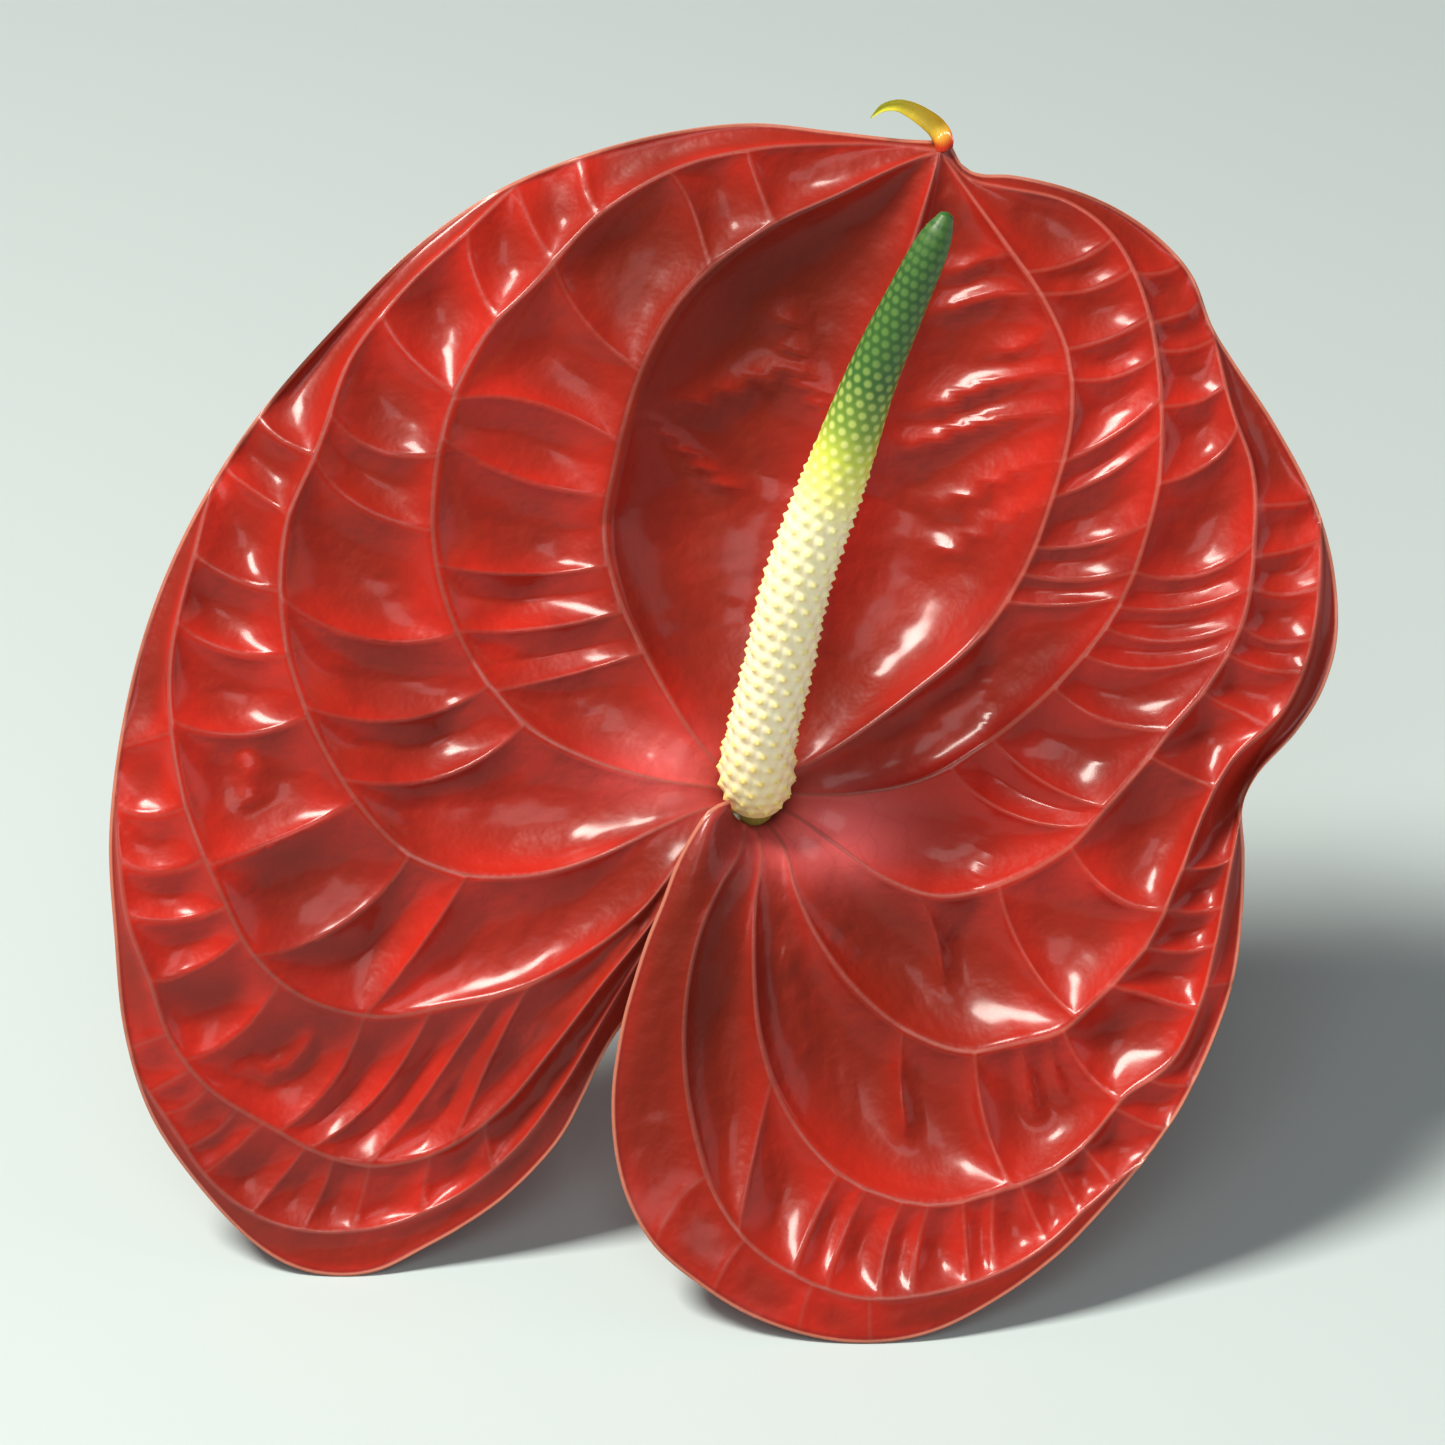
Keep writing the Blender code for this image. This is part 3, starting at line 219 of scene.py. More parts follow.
# The spadix's middle line, from its base to its end, and its radius along it as a share of the full one
SPADIX_AXIS: Points = [
    (0.4, 4.05, 5.5), (0.9, 9.8, 11.8), (3.1, 19.4, 19.4), (5.2, 28.9, 26.0), (10.3, 43.0, 34.4),
    (13.7, 52.3, 39.3), (17.8, 61.4, 43.8), (22.0, 70.2, 47.8)]
SPADIX_TAPER: Points = [
    (0.0, 0.74), (0.05, 0.96), (0.10, 1.0), (0.25, 0.985), (0.375, 0.96), (0.485, 0.925), (0.60, 0.885),
    (0.655, 0.86), (0.71, 0.79), (0.765, 0.74), (0.82, 0.69), (0.87, 0.625), (0.925, 0.565), (0.955, 0.49),
    (0.98, 0.36), (0.995, 0.18)]


def smooth_points(points: Points, count: int, ease: float = 0.0) -> np.ndarray:
    """A smooth curve through points, read at equal steps of its length.

    Each stretch is a cubic between two points, with slopes taken over both neighbours.

    Args:
        points: The points that the curve runs through, in two or three dimensions.
        count: How many points are read from the curve.
        ease: Above zero the steps are short at the start and long at the end, below zero the other way.

    Returns:
        The points read, as an array of count by the number of dimensions.
    """
    p = np.array(points, float)
    steps = np.sqrt(np.linalg.norm(np.diff(p, axis=0), axis=1))
    t = np.concatenate([[0.0], np.cumsum(steps)])
    slopes = np.gradient(p, t, axis=0)
    fine = np.linspace(0.0, t[-1], CURVE_DETAIL * len(p))
    i = np.clip(np.searchsorted(t, fine, side="right") - 1, 0, len(p) - 2)
    h = (t[i + 1] - t[i])[:, None]
    q = (fine - t[i])[:, None] / h
    curve = (2 * q**3 - 3 * q**2 + 1) * p[i] + (3 * q**2 - 2 * q**3) * p[i + 1]
    curve += (q**3 - 2 * q**2 + q) * h * slopes[i] + (q**3 - q**2) * h * slopes[i + 1]
    length = np.concatenate([[0.0], np.cumsum(np.linalg.norm(np.diff(curve, axis=0), axis=1))])
    share = np.linspace(0.0, 1.0, count)
    wanted = length[-1] * (share - ease * share * (1 - share))
    return np.stack([np.interp(wanted, length, curve[:, k]) for k in range(p.shape[1])], axis=1)


def smooth_step(value: np.ndarray | float, low: float, high: float) -> np.ndarray:
    """Rises from 0 at low to 1 at high, flat at both ends: three times the square less twice the cube."""
    share = np.clip((value - low) / (high - low), 0.0, 1.0)
    return share * share * (3 - 2 * share)


def polar(radius: float, degrees: float, centre: Pair = (0.0, 0.0)) -> Pair:
    """A point at a radius and an angle round a centre."""
    angle = math.radians(degrees)
    return centre[0] + radius * math.cos(angle), centre[1] + radius * math.sin(angle)


def line_distance(x: np.ndarray, y: np.ndarray, line: np.ndarray) -> np.ndarray:
    """The distance of each point to a line of short straight stretches.

    Args:
        x: The points' first coordinates.
        y: The points' second coordinates.
        line: The line's own points, in order.

    Returns:
        The distances, in an array of x's shape.
    """
    nearest = np.full(x.shape, FAR)
    for a, b in zip(line[:-1], line[1:]):
        along = b - a
        share = ((x - a[0]) * along[0] + (y - a[1]) * along[1]) / max(float(along @ along), TINY)
        share = np.clip(share, 0.0, 1.0)
        gap = np.hypot(x - a[0] - share * along[0], y - a[1] - share * along[1])
        nearest = np.minimum(nearest, gap)
    return nearest


def bowed_line(vein: tuple[float, ...], count: int = 9) -> np.ndarray:
    """A line between two points that bows to its right by a share of its length, as a parabola.

    Args:
        vein: Both ends' coordinates, and the share.
        count: How many points the line gets.

    Returns:
        The line's points.
    """
    x0, y0, x1, y1, bow = vein
    q = np.linspace(0.0, 1.0, count)
    x = x0 + q * (x1 - x0) + 4 * bow * q * (1 - q) * (y1 - y0)
    y = y0 + q * (y1 - y0) - 4 * bow * q * (1 - q) * (x1 - x0)
    return np.stack([x, y], axis=1)


def waves(x: np.ndarray, y: np.ndarray, length: float, seed: int, count: int = 14,
          lengths: Pair = (0.7, 1.5)) -> np.ndarray:
    """Gentle unevenness: a mean of plane waves in random directions, each a sine of the place along it.

    Args:
        x: The points' first coordinates.
        y: The points' second coordinates.
        length: The waves' mean length.
        seed: The seed of their directions, lengths and phases.
        count: How many waves there are.
        lengths: The shortest and the longest wave, as shares of the mean.

    Returns:
        Values of about -1 to 1, in an array of x's shape.
    """
    draw = np.random.default_rng(seed)
    total = np.zeros(x.shape)
    for _ in range(count):
        angle, phase = draw.uniform(0, 2 * math.pi, 2)
        number = 2 * math.pi / (length * draw.uniform(*lengths))
        total += np.sin(number * (x * math.cos(angle) + y * math.sin(angle)) + phase)
    return total / math.sqrt(count)


def tube(line: np.ndarray, radii: np.ndarray, sides: int) -> np.ndarray:
    """Rings of points round a line: at each point, a circle across the line's direction.

    Args:
        line: The middle line's points.
        radii: The radius of each ring.
        sides: The points in a ring.

    Returns:
        An array of rings by sides by 3.
    """
    along = np.gradient(line, axis=0)
    along /= np.linalg.norm(along, axis=1)[:, None]
    side = np.cross(along, np.array([0.0, 0.0, 1.0]))
    side /= np.linalg.norm(side, axis=1)[:, None]
    up = np.cross(side, along)
    turn = np.arange(sides) * 2 * np.pi / sides
    round_it = np.cos(turn)[None, :, None] * side[:, None, :] + np.sin(turn)[None, :, None] * up[:, None, :]
    return line[:, None, :] + radii[:, None, None] * round_it


def tube_faces(rings: int, sides: int) -> np.ndarray:
    """The faces of a tube of rings with a point at its foot and one at its head, which come last."""
    ring, turn = np.meshgrid(np.arange(rings - 1), np.arange(sides), indexing="ij")
    a, b = ring * sides + turn, ring * sides + (turn + 1) % sides
    wall = np.stack([a, a + sides, b + sides, a, b + sides, b], axis=-1).reshape(-1, 3)
    j = np.arange(sides)
    k = (j + 1) % sides
    top = (rings - 1) * sides
    foot = np.stack([np.full(sides, rings * sides), j, k], axis=1)
    head = np.stack([np.full(sides, rings * sides + 1), top + k, top + j], axis=1)
    return np.concatenate([wall, foot, head])


@dataclass(frozen=True)
class Lie:
    """How the flower lies: its lean, and where the point at which the stem meets the spathe is."""

    lean: float = math.radians(30.0)
    junction: Place = (0.0, 0.0, 0.0)

    def to_world(self, x: np.ndarray, y: np.ndarray, z: np.ndarray) -> np.ndarray:
        """Points of the spathe's plane, in metres of the world.

        Args:
            x: To the right, in millimetres.
            y: Towards the drip tip.
            z: Out of the spathe's face.

        Returns:
            An array with the three coordinates last.
        """
        x, y, z = np.broadcast_arrays(np.asarray(x, float), y, z)
        forward = y * math.sin(self.lean) - z * math.cos(self.lean)
        up = y * math.cos(self.lean) + z * math.sin(self.lean)
        return np.stack([x, forward, up], axis=-1) * MM + np.array(self.junction)


class Value:
    """A number that a material's nodes carry. Arithmetic on it adds Math nodes."""

    def __init__(self, recipe: "Recipe", socket: bpy.types.NodeSocket) -> None:
        """Holds the socket that gives the number and the material that it is in."""
        self.recipe = recipe
        self.socket = socket

    def _math(self, operation: str, first: "Value | float", second: "Value | float") -> "Value":
        """One Math node on two numbers."""
        return self.recipe.node("ShaderNodeMath", {"operation": operation}, {0: first, 1: second})

    def __add__(self, other: "Value | float") -> "Value":
        """The sum."""
        return self._math("ADD", self, other)

    __radd__ = __add__

    def __sub__(self, other: "Value | float") -> "Value":
        """The difference."""
        return self._math("SUBTRACT", self, other)

    def __rsub__(self, other: "Value | float") -> "Value":
        """The difference from a plain number."""
        return self._math("SUBTRACT", other, self)

    def __mul__(self, other: "Value | float") -> "Value":
        """The product."""
        return self._math("MULTIPLY", self, other)

    __rmul__ = __mul__

    def step(self, low: float, high: float) -> "Value":
        """Goes smoothly from 0 at low to 1 at high, which may be the smaller one."""
        ends = {"Value": self, "From Min": low, "From Max": high, "To Min": 0.0, "To Max": 1.0}
        return self.recipe.node("ShaderNodeMapRange", {"interpolation_type": "SMOOTHSTEP"}, ends)


class Recipe:
    """One material, whose nodes are added by name."""

    def __init__(self, name: str) -> None:
        """Starts a material with its output node alone."""
        self.material = bpy.data.materials.new(name)
        self.material.use_nodes = True
        self.tree = self.material.node_tree
        self.tree.nodes.clear()

    def node(self, kind: str, settings: dict | None = None, inputs: dict | None = None,
             output: int | str = 0) -> Value:
        """Adds a node.

        Args:
            kind: The node's type.
            settings: Its own settings, set first. "stops" holds a ramp's places and colours.
            inputs: Values or links for its sockets, by name or number.
            output: The output that is wanted.

        Returns:
            The output as a Value.
        """
        made = self.tree.nodes.new(kind)
        for name, value in (settings or {}).items():
            if name == "stops":
                self._set_stops(made.color_ramp, value)
            else:
                setattr(made, name, value)
        for name, value in (inputs or {}).items():
            socket = made.inputs[name]
            if isinstance(value, Value):
                self.tree.links.new(value.socket, socket)
            elif isinstance(value, tuple) and len(value) == 3 and socket.type == "RGBA":
                socket.default_value = (*value, 1.0)
            else:
                socket.default_value = value
        return Value(self, made.outputs[output]) if made.outputs else None

    @staticmethod
    def _set_stops(ramp: bpy.types.ColorRamp, stops: Stops) -> None:
        """Gives a ramp its places and colours."""
        while len(ramp.elements) < len(stops):
            ramp.elements.new(0.5)
        for element, (place, colour) in zip(ramp.elements, stops):
            element.position = place
            element.color = (*colour, 1.0)

    def attribute(self, name: str) -> Value:
        """A number that the mesh holds at each point."""
        return self.node("ShaderNodeAttribute", {"attribute_name": name}, output="Fac")

    def place(self) -> Value:
        """The point's own coordinates in metres."""
        return self.node("ShaderNodeTexCoord", output="Object")

    def noise(self, scale: float, detail: float = 2.0, vector: Value | None = None) -> Value:
        """Cloudy unevenness with about this many patches to a metre."""
        inputs = {"Vector": vector or self.place(), "Scale": scale, "Detail": detail}
        return self.node("ShaderNodeTexNoise", None, inputs)

    def mix(self, share: Value | float, first: Value | Colour, second: Value | Colour) -> Value:
        """A colour that goes from the first to the second by a share."""
        return self.node("ShaderNodeMix", {"data_type": "RGBA"}, {0: share, 6: first, 7: second}, output=2)

    def bump(self, height: Value, distance: float, strength: float = 1.0) -> Value:
        """Relief from a height, whose full range is a distance in metres."""
        inputs = {"Height": height, "Distance": distance, "Strength": strength}
        return self.node("ShaderNodeBump", None, inputs)

    @staticmethod
    def swing(pattern: Value, middle: float, width: float) -> Value:
        """A number that goes with a pattern of 0 to 1 over a width round its middle."""
        return pattern * width + (middle - width / 2)

    def finish(self, inputs: dict) -> bpy.types.Material:
        """Closes the material with its shader and its output.

        Args:
            inputs: Values or links of the Principled shader's sockets.

        Returns:
            The material.
        """
        shader = self.node("ShaderNodeBsdfPrincipled", None, inputs)
        self.node("ShaderNodeOutputMaterial", None, {"Surface": shader})
        return self.material


@dataclass(frozen=True)
class SpatheFinish:
    """The waxy red of the spathe's face, with its lines and its rim.

    A span says where something starts to show and where it shows in full: in millimetres from a line or
    from the margin, or as a share. A share is how strongly it then covers what is under it.
    """

    bright: Colour = (0.45, 0.017, 0.008)
    deep: Colour = (0.27, 0.014, 0.007)
    # Painted shade: the darker red laid where a cell is hollow
    hollow: Colour = (0.18, 0.017, 0.008)
    # Painted shade: the dark brownish red of the broad shaded patches
    painted_shade_colour: Colour = (0.14, 0.012, 0.004)
    # Painted sheen: the pale pink laid on both sides of the stem
    flush: Colour = (0.95, 0.15, 0.15)
    line: Colour = (0.30, 0.075, 0.058)
    line_right: Colour = (0.46, 0.11, 0.08)
    net: Colour = (0.25, 0.012, 0.01)
    # Painted highlight: the pale edge along the margin
    rim: Colour = (0.52, 0.19, 0.125)
    rim_dark: Colour = (0.18, 0.014, 0.010)
    tip_inside: Colour = (0.74, 0.55, 0.05)
    tip_end: Colour = (0.52, 0.52, 0.04)
    cloud_scale: float = 60.0
    cloud_span: Pair = (0.35, 0.7)
    hollow_shade_span: Pair = (0.35, 1.0)
    hollow_shade_share: float = 0.6
    net_scale: float = 190.0
    net_bend: float = 0.004
    net_bend_scale: float = 120.0
    net_span: Pair = (0.035, 0.0)
    net_share: float = 0.12
    right_span: Pair = (0.35, 0.8)
    cross_span: Pair = (0.36, 0.06)
    cross_share: float = 0.25
    vein_span: Pair = (0.38, 0.10)
    vein_share: float = 0.6
    rim_dark_span: Pair = (1.0, 0.6)
    rim_dark_share: float = 0.5
    rim_highlight_span: Pair = (0.5, 0.25)
    rim_highlight_share: float = 0.75
    tip_end_span: Pair = (0.45, 0.9)
    tip_span: Pair = (0.05, 0.3)
    roughness: float = 0.46
    roughness_swing: float = 0.1
    specular: float = 0.15
    coat_weight: float = 0.42
    # Less coat where the painted shade lies, so that it stays dark
    coat_lost_in_painted_shade: float = 0.34
    coat_roughness: float = 0.17
    coat_ior: float = 1.42
    grain_scale: float = 900.0
    grain_share: float = 0.25
    pore_scale: float = 420.0
    grain_height: float = 0.00022

    def make(self) -> bpy.types.Material:
        """The material of the face.

        The red wanders between bright and deep. Painted shade darkens it in broad patches, where it also
        takes away some coat, and where a cell is hollow. A painted sheen pales it to pink round the stem. A
        fine dark net lies in it, thin pale lines run along the veins, and the rim is a pale painted highlight
        with a dark line inside it.

        Returns:
            The material.
        """
        r = Recipe("spathe_face")
        clouds = r.noise(self.cloud_scale, 3.0)
        hollow, shade, flush = r.attribute("hollow"), r.attribute("shade"), r.attribute("flush")
        vein, cross, right = r.attribute("vein"), r.attribute("cross"), r.attribute("right")
        rim, tip = r.attribute("rim"), r.attribute("tip")
        colour = r.mix(clouds.step(*self.cloud_span), self.bright, self.deep)
        # Painted shade: darker where a cell is hollow
        colour = r.mix(hollow.step(*self.hollow_shade_span) * self.hollow_shade_share, colour, self.hollow)
        # Painted shade in broad patches
        colour = r.mix(shade, colour, self.painted_shade_colour)
        # Painted sheen: pink on both sides of the stem
        colour = r.mix(flush, colour, self.flush)
        bent = r.node("ShaderNodeVectorMath", {"operation": "MULTIPLY_ADD"},
                      {0: self._wander(r), 1: (self.net_bend,) * 3, 2: r.place()})
        net = r.node("ShaderNodeTexVoronoi", {"feature": "DISTANCE_TO_EDGE"},
                     {"Vector": bent, "Scale": self.net_scale, "Randomness": 1.0})
        colour = r.mix(net.step(*self.net_span) * self.net_share, colour, self.net)
        line = r.mix(right.step(*self.right_span), self.line, self.line_right)
        colour = r.mix(cross.step(*self.cross_span) * self.cross_share, colour, line)
        colour = r.mix(vein.step(*self.vein_span) * self.vein_share, colour, line)
        colour = r.mix(rim.step(*self.rim_dark_span) * self.rim_dark_share, colour, self.rim_dark)
        # Painted highlight: the pale edge of the rim
        colour = r.mix(rim.step(*self.rim_highlight_span) * self.rim_highlight_share, colour, self.rim)
        tip_colour = r.mix(tip.step(*self.tip_end_span), self.tip_inside, self.tip_end)
        colour = r.mix(tip.step(*self.tip_span), colour, tip_colour)
        height = r.noise(self.grain_scale, 2.0) * self.grain_share + r.noise(self.pore_scale, 2.0)
        return r.finish({
            "Base Color": colour,
            "Roughness": r.swing(clouds, self.roughness, self.roughness_swing),
            "Coat Weight": self.coat_weight - shade * self.coat_lost_in_painted_shade,
            "Coat Roughness": self.coat_roughness,
            "Coat IOR": self.coat_ior,
            "Specular IOR Level": self.specular,
            "Normal": r.bump(height, self.grain_height),
        })

    def _wander(self, recipe: Recipe) -> Value:
        """A direction that drifts over the surface, to bend the net."""
        inputs = {"Vector": recipe.place(), "Scale": self.net_bend_scale, "Detail": 1.0}
        return recipe.node("ShaderNodeTexNoise", None, inputs, output="Color")


@dataclass(frozen=True)
class SpatheBackFinish:
    """The duller, paler red of the spathe's back, with its raised veins."""

    red: Colour = (0.5, 0.035, 0.025)
    pale: Colour = (0.62, 0.11, 0.075)
    vein: Colour = (0.66, 0.2, 0.13)
    cloud_scale: float = 70.0
    cloud_span: Pair = (0.35, 0.7)
    vein_span: Pair = (2.2, 0.2)
    vein_share: float = 0.75
    roughness: float = 0.42
    roughness_swing: float = 0.1
    coat_weight: float = 0.15
    coat_roughness: float = 0.25
    grain_scale: float = 1100.0
    grain_height: float = 0.00004

    def make(self) -> bpy.types.Material:
        """The material of the back: red that pales towards the veins.

        Returns:
            The material.
        """
        r = Recipe("spathe_back")
        vein = r.attribute("vein")
        colour = r.mix(r.noise(self.cloud_scale, 3.0).step(*self.cloud_span), self.red, self.pale)
        colour = r.mix(vein.step(*self.vein_span) * self.vein_share, colour, self.vein)
        grain = r.noise(self.grain_scale, 2.0)
        return r.finish({
            "Base Color": colour,
            "Roughness": r.swing(grain, self.roughness, self.roughness_swing),
            "Coat Weight": self.coat_weight,
            "Coat Roughness": self.coat_roughness,
            "Normal": r.bump(grain, self.grain_height),
        })


@dataclass(frozen=True)
class SpadixFinish:
    """The spadix's colours from its base to its end, with a yellow or a pale dot on each floret."""

    stops: Stops = (
        (0.0, (0.90, 0.66, 0.28)), (0.05, (0.98, 0.79, 0.46)), (0.16, (1.0, 0.86, 0.61)),
        (0.52, (1.0, 0.87, 0.56)), (0.57, (0.88, 0.84, 0.25)), (0.62, (0.62, 0.68, 0.08)),
        (0.67, (0.20, 0.32, 0.035)), (0.74, (0.04, 0.13, 0.018)), (0.9, (0.022, 0.09, 0.016)),
        (1.0, (0.03, 0.11, 0.02)))
    dot_stops: Stops = (
        (0.0, (0.86, 0.62, 0.12)), (0.2, (0.84, 0.68, 0.22)), (0.45, (0.82, 0.76, 0.30)),
        (0.6, (0.90, 0.88, 0.35)), (0.68, (0.50, 0.60, 0.15)), (0.78, (0.13, 0.25, 0.05)),
        (1.0, (0.06, 0.15, 0.03)))
    nub_tip: Colour = (0.95, 0.85, 0.56)
    dot_span: Pair = (0.15, 0.75)
    dot_share: float = 0.85
    nub_span: Pair = (0.75, 1.0)
    nub_share: float = 0.6
    roughness: float = 0.42
    roughness_swing: float = 0.12
    flesh_weight: float = 0.6
    flesh_depth: Colour = (0.0016, 0.0012, 0.0007)
    grain_scale: float = 1800.0
    grain_height: float = 0.00003

    def make(self) -> bpy.types.Material:
        """The material of the spadix.

        Returns:
            The material.
        """
        r = Recipe("spadix_florets")
        share, dot, nub = r.attribute("share"), r.attribute("dot"), r.attribute("nub")
        skin = r.node("ShaderNodeValToRGB", {"stops": self.stops}, {"Fac": share})
        spot = r.node("ShaderNodeValToRGB", {"stops": self.dot_stops}, {"Fac": share})
        colour = r.mix(dot.step(*self.dot_span) * self.dot_share, skin, spot)
        colour = r.mix(nub.step(*self.nub_span) * self.nub_share, colour, self.nub_tip)
        grain = r.noise(self.grain_scale, 2.0)
        return r.finish({
            "Base Color": colour,
            "Roughness": r.swing(grain, self.roughness, self.roughness_swing),
            "Subsurface Weight": self.flesh_weight,
            "Subsurface Radius": self.flesh_depth,
            "Subsurface Scale": 1.0,
            "Normal": r.bump(grain, self.grain_height),
        })


@dataclass(frozen=True)
class StemFinish:
    """The stem's green, its olive collar and its pale cut end."""

    green: Colour = (0.071, 0.121, 0.025)
    dark: Colour = (0.039, 0.079, 0.018)
    collar: Colour = (0.25, 0.25, 0.04)
    blush: Colour = (0.3, 0.05, 0.03)
    cut: Colour = (0.40, 0.42, 0.18)
    cut_dots: Colour = (0.30, 0.34, 0.12)
    streaks_around: float = 9.0
    streaks_along: float = 0.03
    streak_scale: float = 3.0
    streak_span: Pair = (0.35, 0.65)
    blush_span: Pair = (30.0, 8.0)
    blush_share: float = 0.35
    collar_span: Pair = (3.6, 2.0)
    dot_scale: float = 1500.0
    dot_span: Pair = (0.3, 0.2)
    dot_share: float = 0.5
    roughness: float = 0.36
    roughness_swing: float = 0.1
    coat_weight: float = 0.25
    coat_roughness: float = 0.15
    streak_height: float = 0.00012

    def make(self) -> bpy.types.Material:
        """The material of the stem: long streaks, a collar, a reddish neck and the cut with its dots.

        Returns:
            The material.
        """
        r = Recipe("stem_skin")
        run, turn, cut = r.attribute("run"), r.attribute("turn"), r.attribute("cut")
        drawn_out = {0: turn * self.streaks_around, 1: run * self.streaks_along}
        streaks = r.node("ShaderNodeTexNoise", {"noise_dimensions": "2D"},
                         {"Vector": r.node("ShaderNodeCombineXYZ", None, drawn_out),
                          "Scale": self.streak_scale, "Detail": 3.0})
        colour = r.mix(streaks.step(*self.streak_span), self.green, self.dark)
        colour = r.mix(run.step(*self.blush_span) * self.blush_share, colour, self.blush)
        colour = r.mix(run.step(*self.collar_span), colour, self.collar)
        dots = r.node("ShaderNodeTexVoronoi", None, {"Vector": r.place(), "Scale": self.dot_scale})
        flesh = r.mix(dots.step(*self.dot_span) * self.dot_share, self.cut, self.cut_dots)
        colour = r.mix(cut, colour, flesh)
        return r.finish({
            "Base Color": colour,
            "Roughness": r.swing(streaks, self.roughness, self.roughness_swing),
            "Coat Weight": self.coat_weight,
            "Coat Roughness": self.coat_roughness,
            "Normal": r.bump(streaks, self.streak_height),
        })


@dataclass(frozen=True)
class FloorFinish:
    """The plain pale floor."""

    colour: Colour = (0.495, 0.578, 0.587)
    cloud: Colour = (0.46, 0.53, 0.535)
    cloud_scale: float = 3.0
    cloud_share: float = 0.05
    roughness: float = 0.9
    specular: float = 0.1

    def make(self) -> bpy.types.Material:
        """The material of the floor, barely clouded.

        Returns:
            The material.
        """
        r = Recipe("floor_paper")
        clouds = r.noise(self.cloud_scale, 1.0)
        colour = r.mix(clouds * self.cloud_share, self.colour, self.cloud)
        return r.finish({
            "Base Color": colour,
            "Roughness": self.roughness,
            "Specular IOR Level": self.specular,
        })


def add_piece(name: str, points: np.ndarray, faces: np.ndarray, materials: list[bpy.types.Material],
              numbers: dict[str, np.ndarray], slots: np.ndarray | None = None) -> bpy.types.Object:
    """A mesh object from points in metres and triangles.

    Args:
        name: The object's name.
        points: All the points. Those that no face uses are left out.
        faces: Three point numbers for each face.
        materials: The material slots.
        numbers: Named numbers for each point, which the materials read.
        slots: The material slot of each face, where there are several.

    Returns:
        The object.
    """
    used, faces = np.unique(faces, return_inverse=True)
    faces = faces.reshape(-1, 3)
    mesh = bpy.data.meshes.new(name)
    mesh.vertices.add(len(used))
    mesh.vertices.foreach_set("co", points[used].astype(np.float32).ravel())
    mesh.loops.add(faces.size)
    mesh.loops.foreach_set("vertex_index", faces.astype(np.int32).ravel())
    mesh.polygons.add(len(faces))
    mesh.polygons.foreach_set("loop_start", np.arange(0, faces.size, 3, dtype=np.int32))
    for material in materials:
        mesh.materials.append(material)
    if slots is not None:
        mesh.polygons.foreach_set("material_index", slots.astype(np.int32))
    for key, values in numbers.items():
        layer = mesh.attributes.new(key, "FLOAT", "POINT")
        layer.data.foreach_set("value", values[used].astype(np.float32))
    mesh.update(calc_edges=True)
    mesh.validate()
    mesh.shade_smooth()
    obj = bpy.data.objects.new(name, mesh)
    bpy.context.scene.collection.objects.link(obj)
    return obj


@dataclass
class Blade:
    """The spathe's blade as a grid of columns by rows, with what the relief and the finish read from it."""

    x: np.ndarray
    y: np.ndarray
    across: np.ndarray
    place: np.ndarray
    width: np.ndarray
    vein: np.ndarray
    cross: np.ndarray
    ridge: np.ndarray
    band: np.ndarray
    tau: np.ndarray


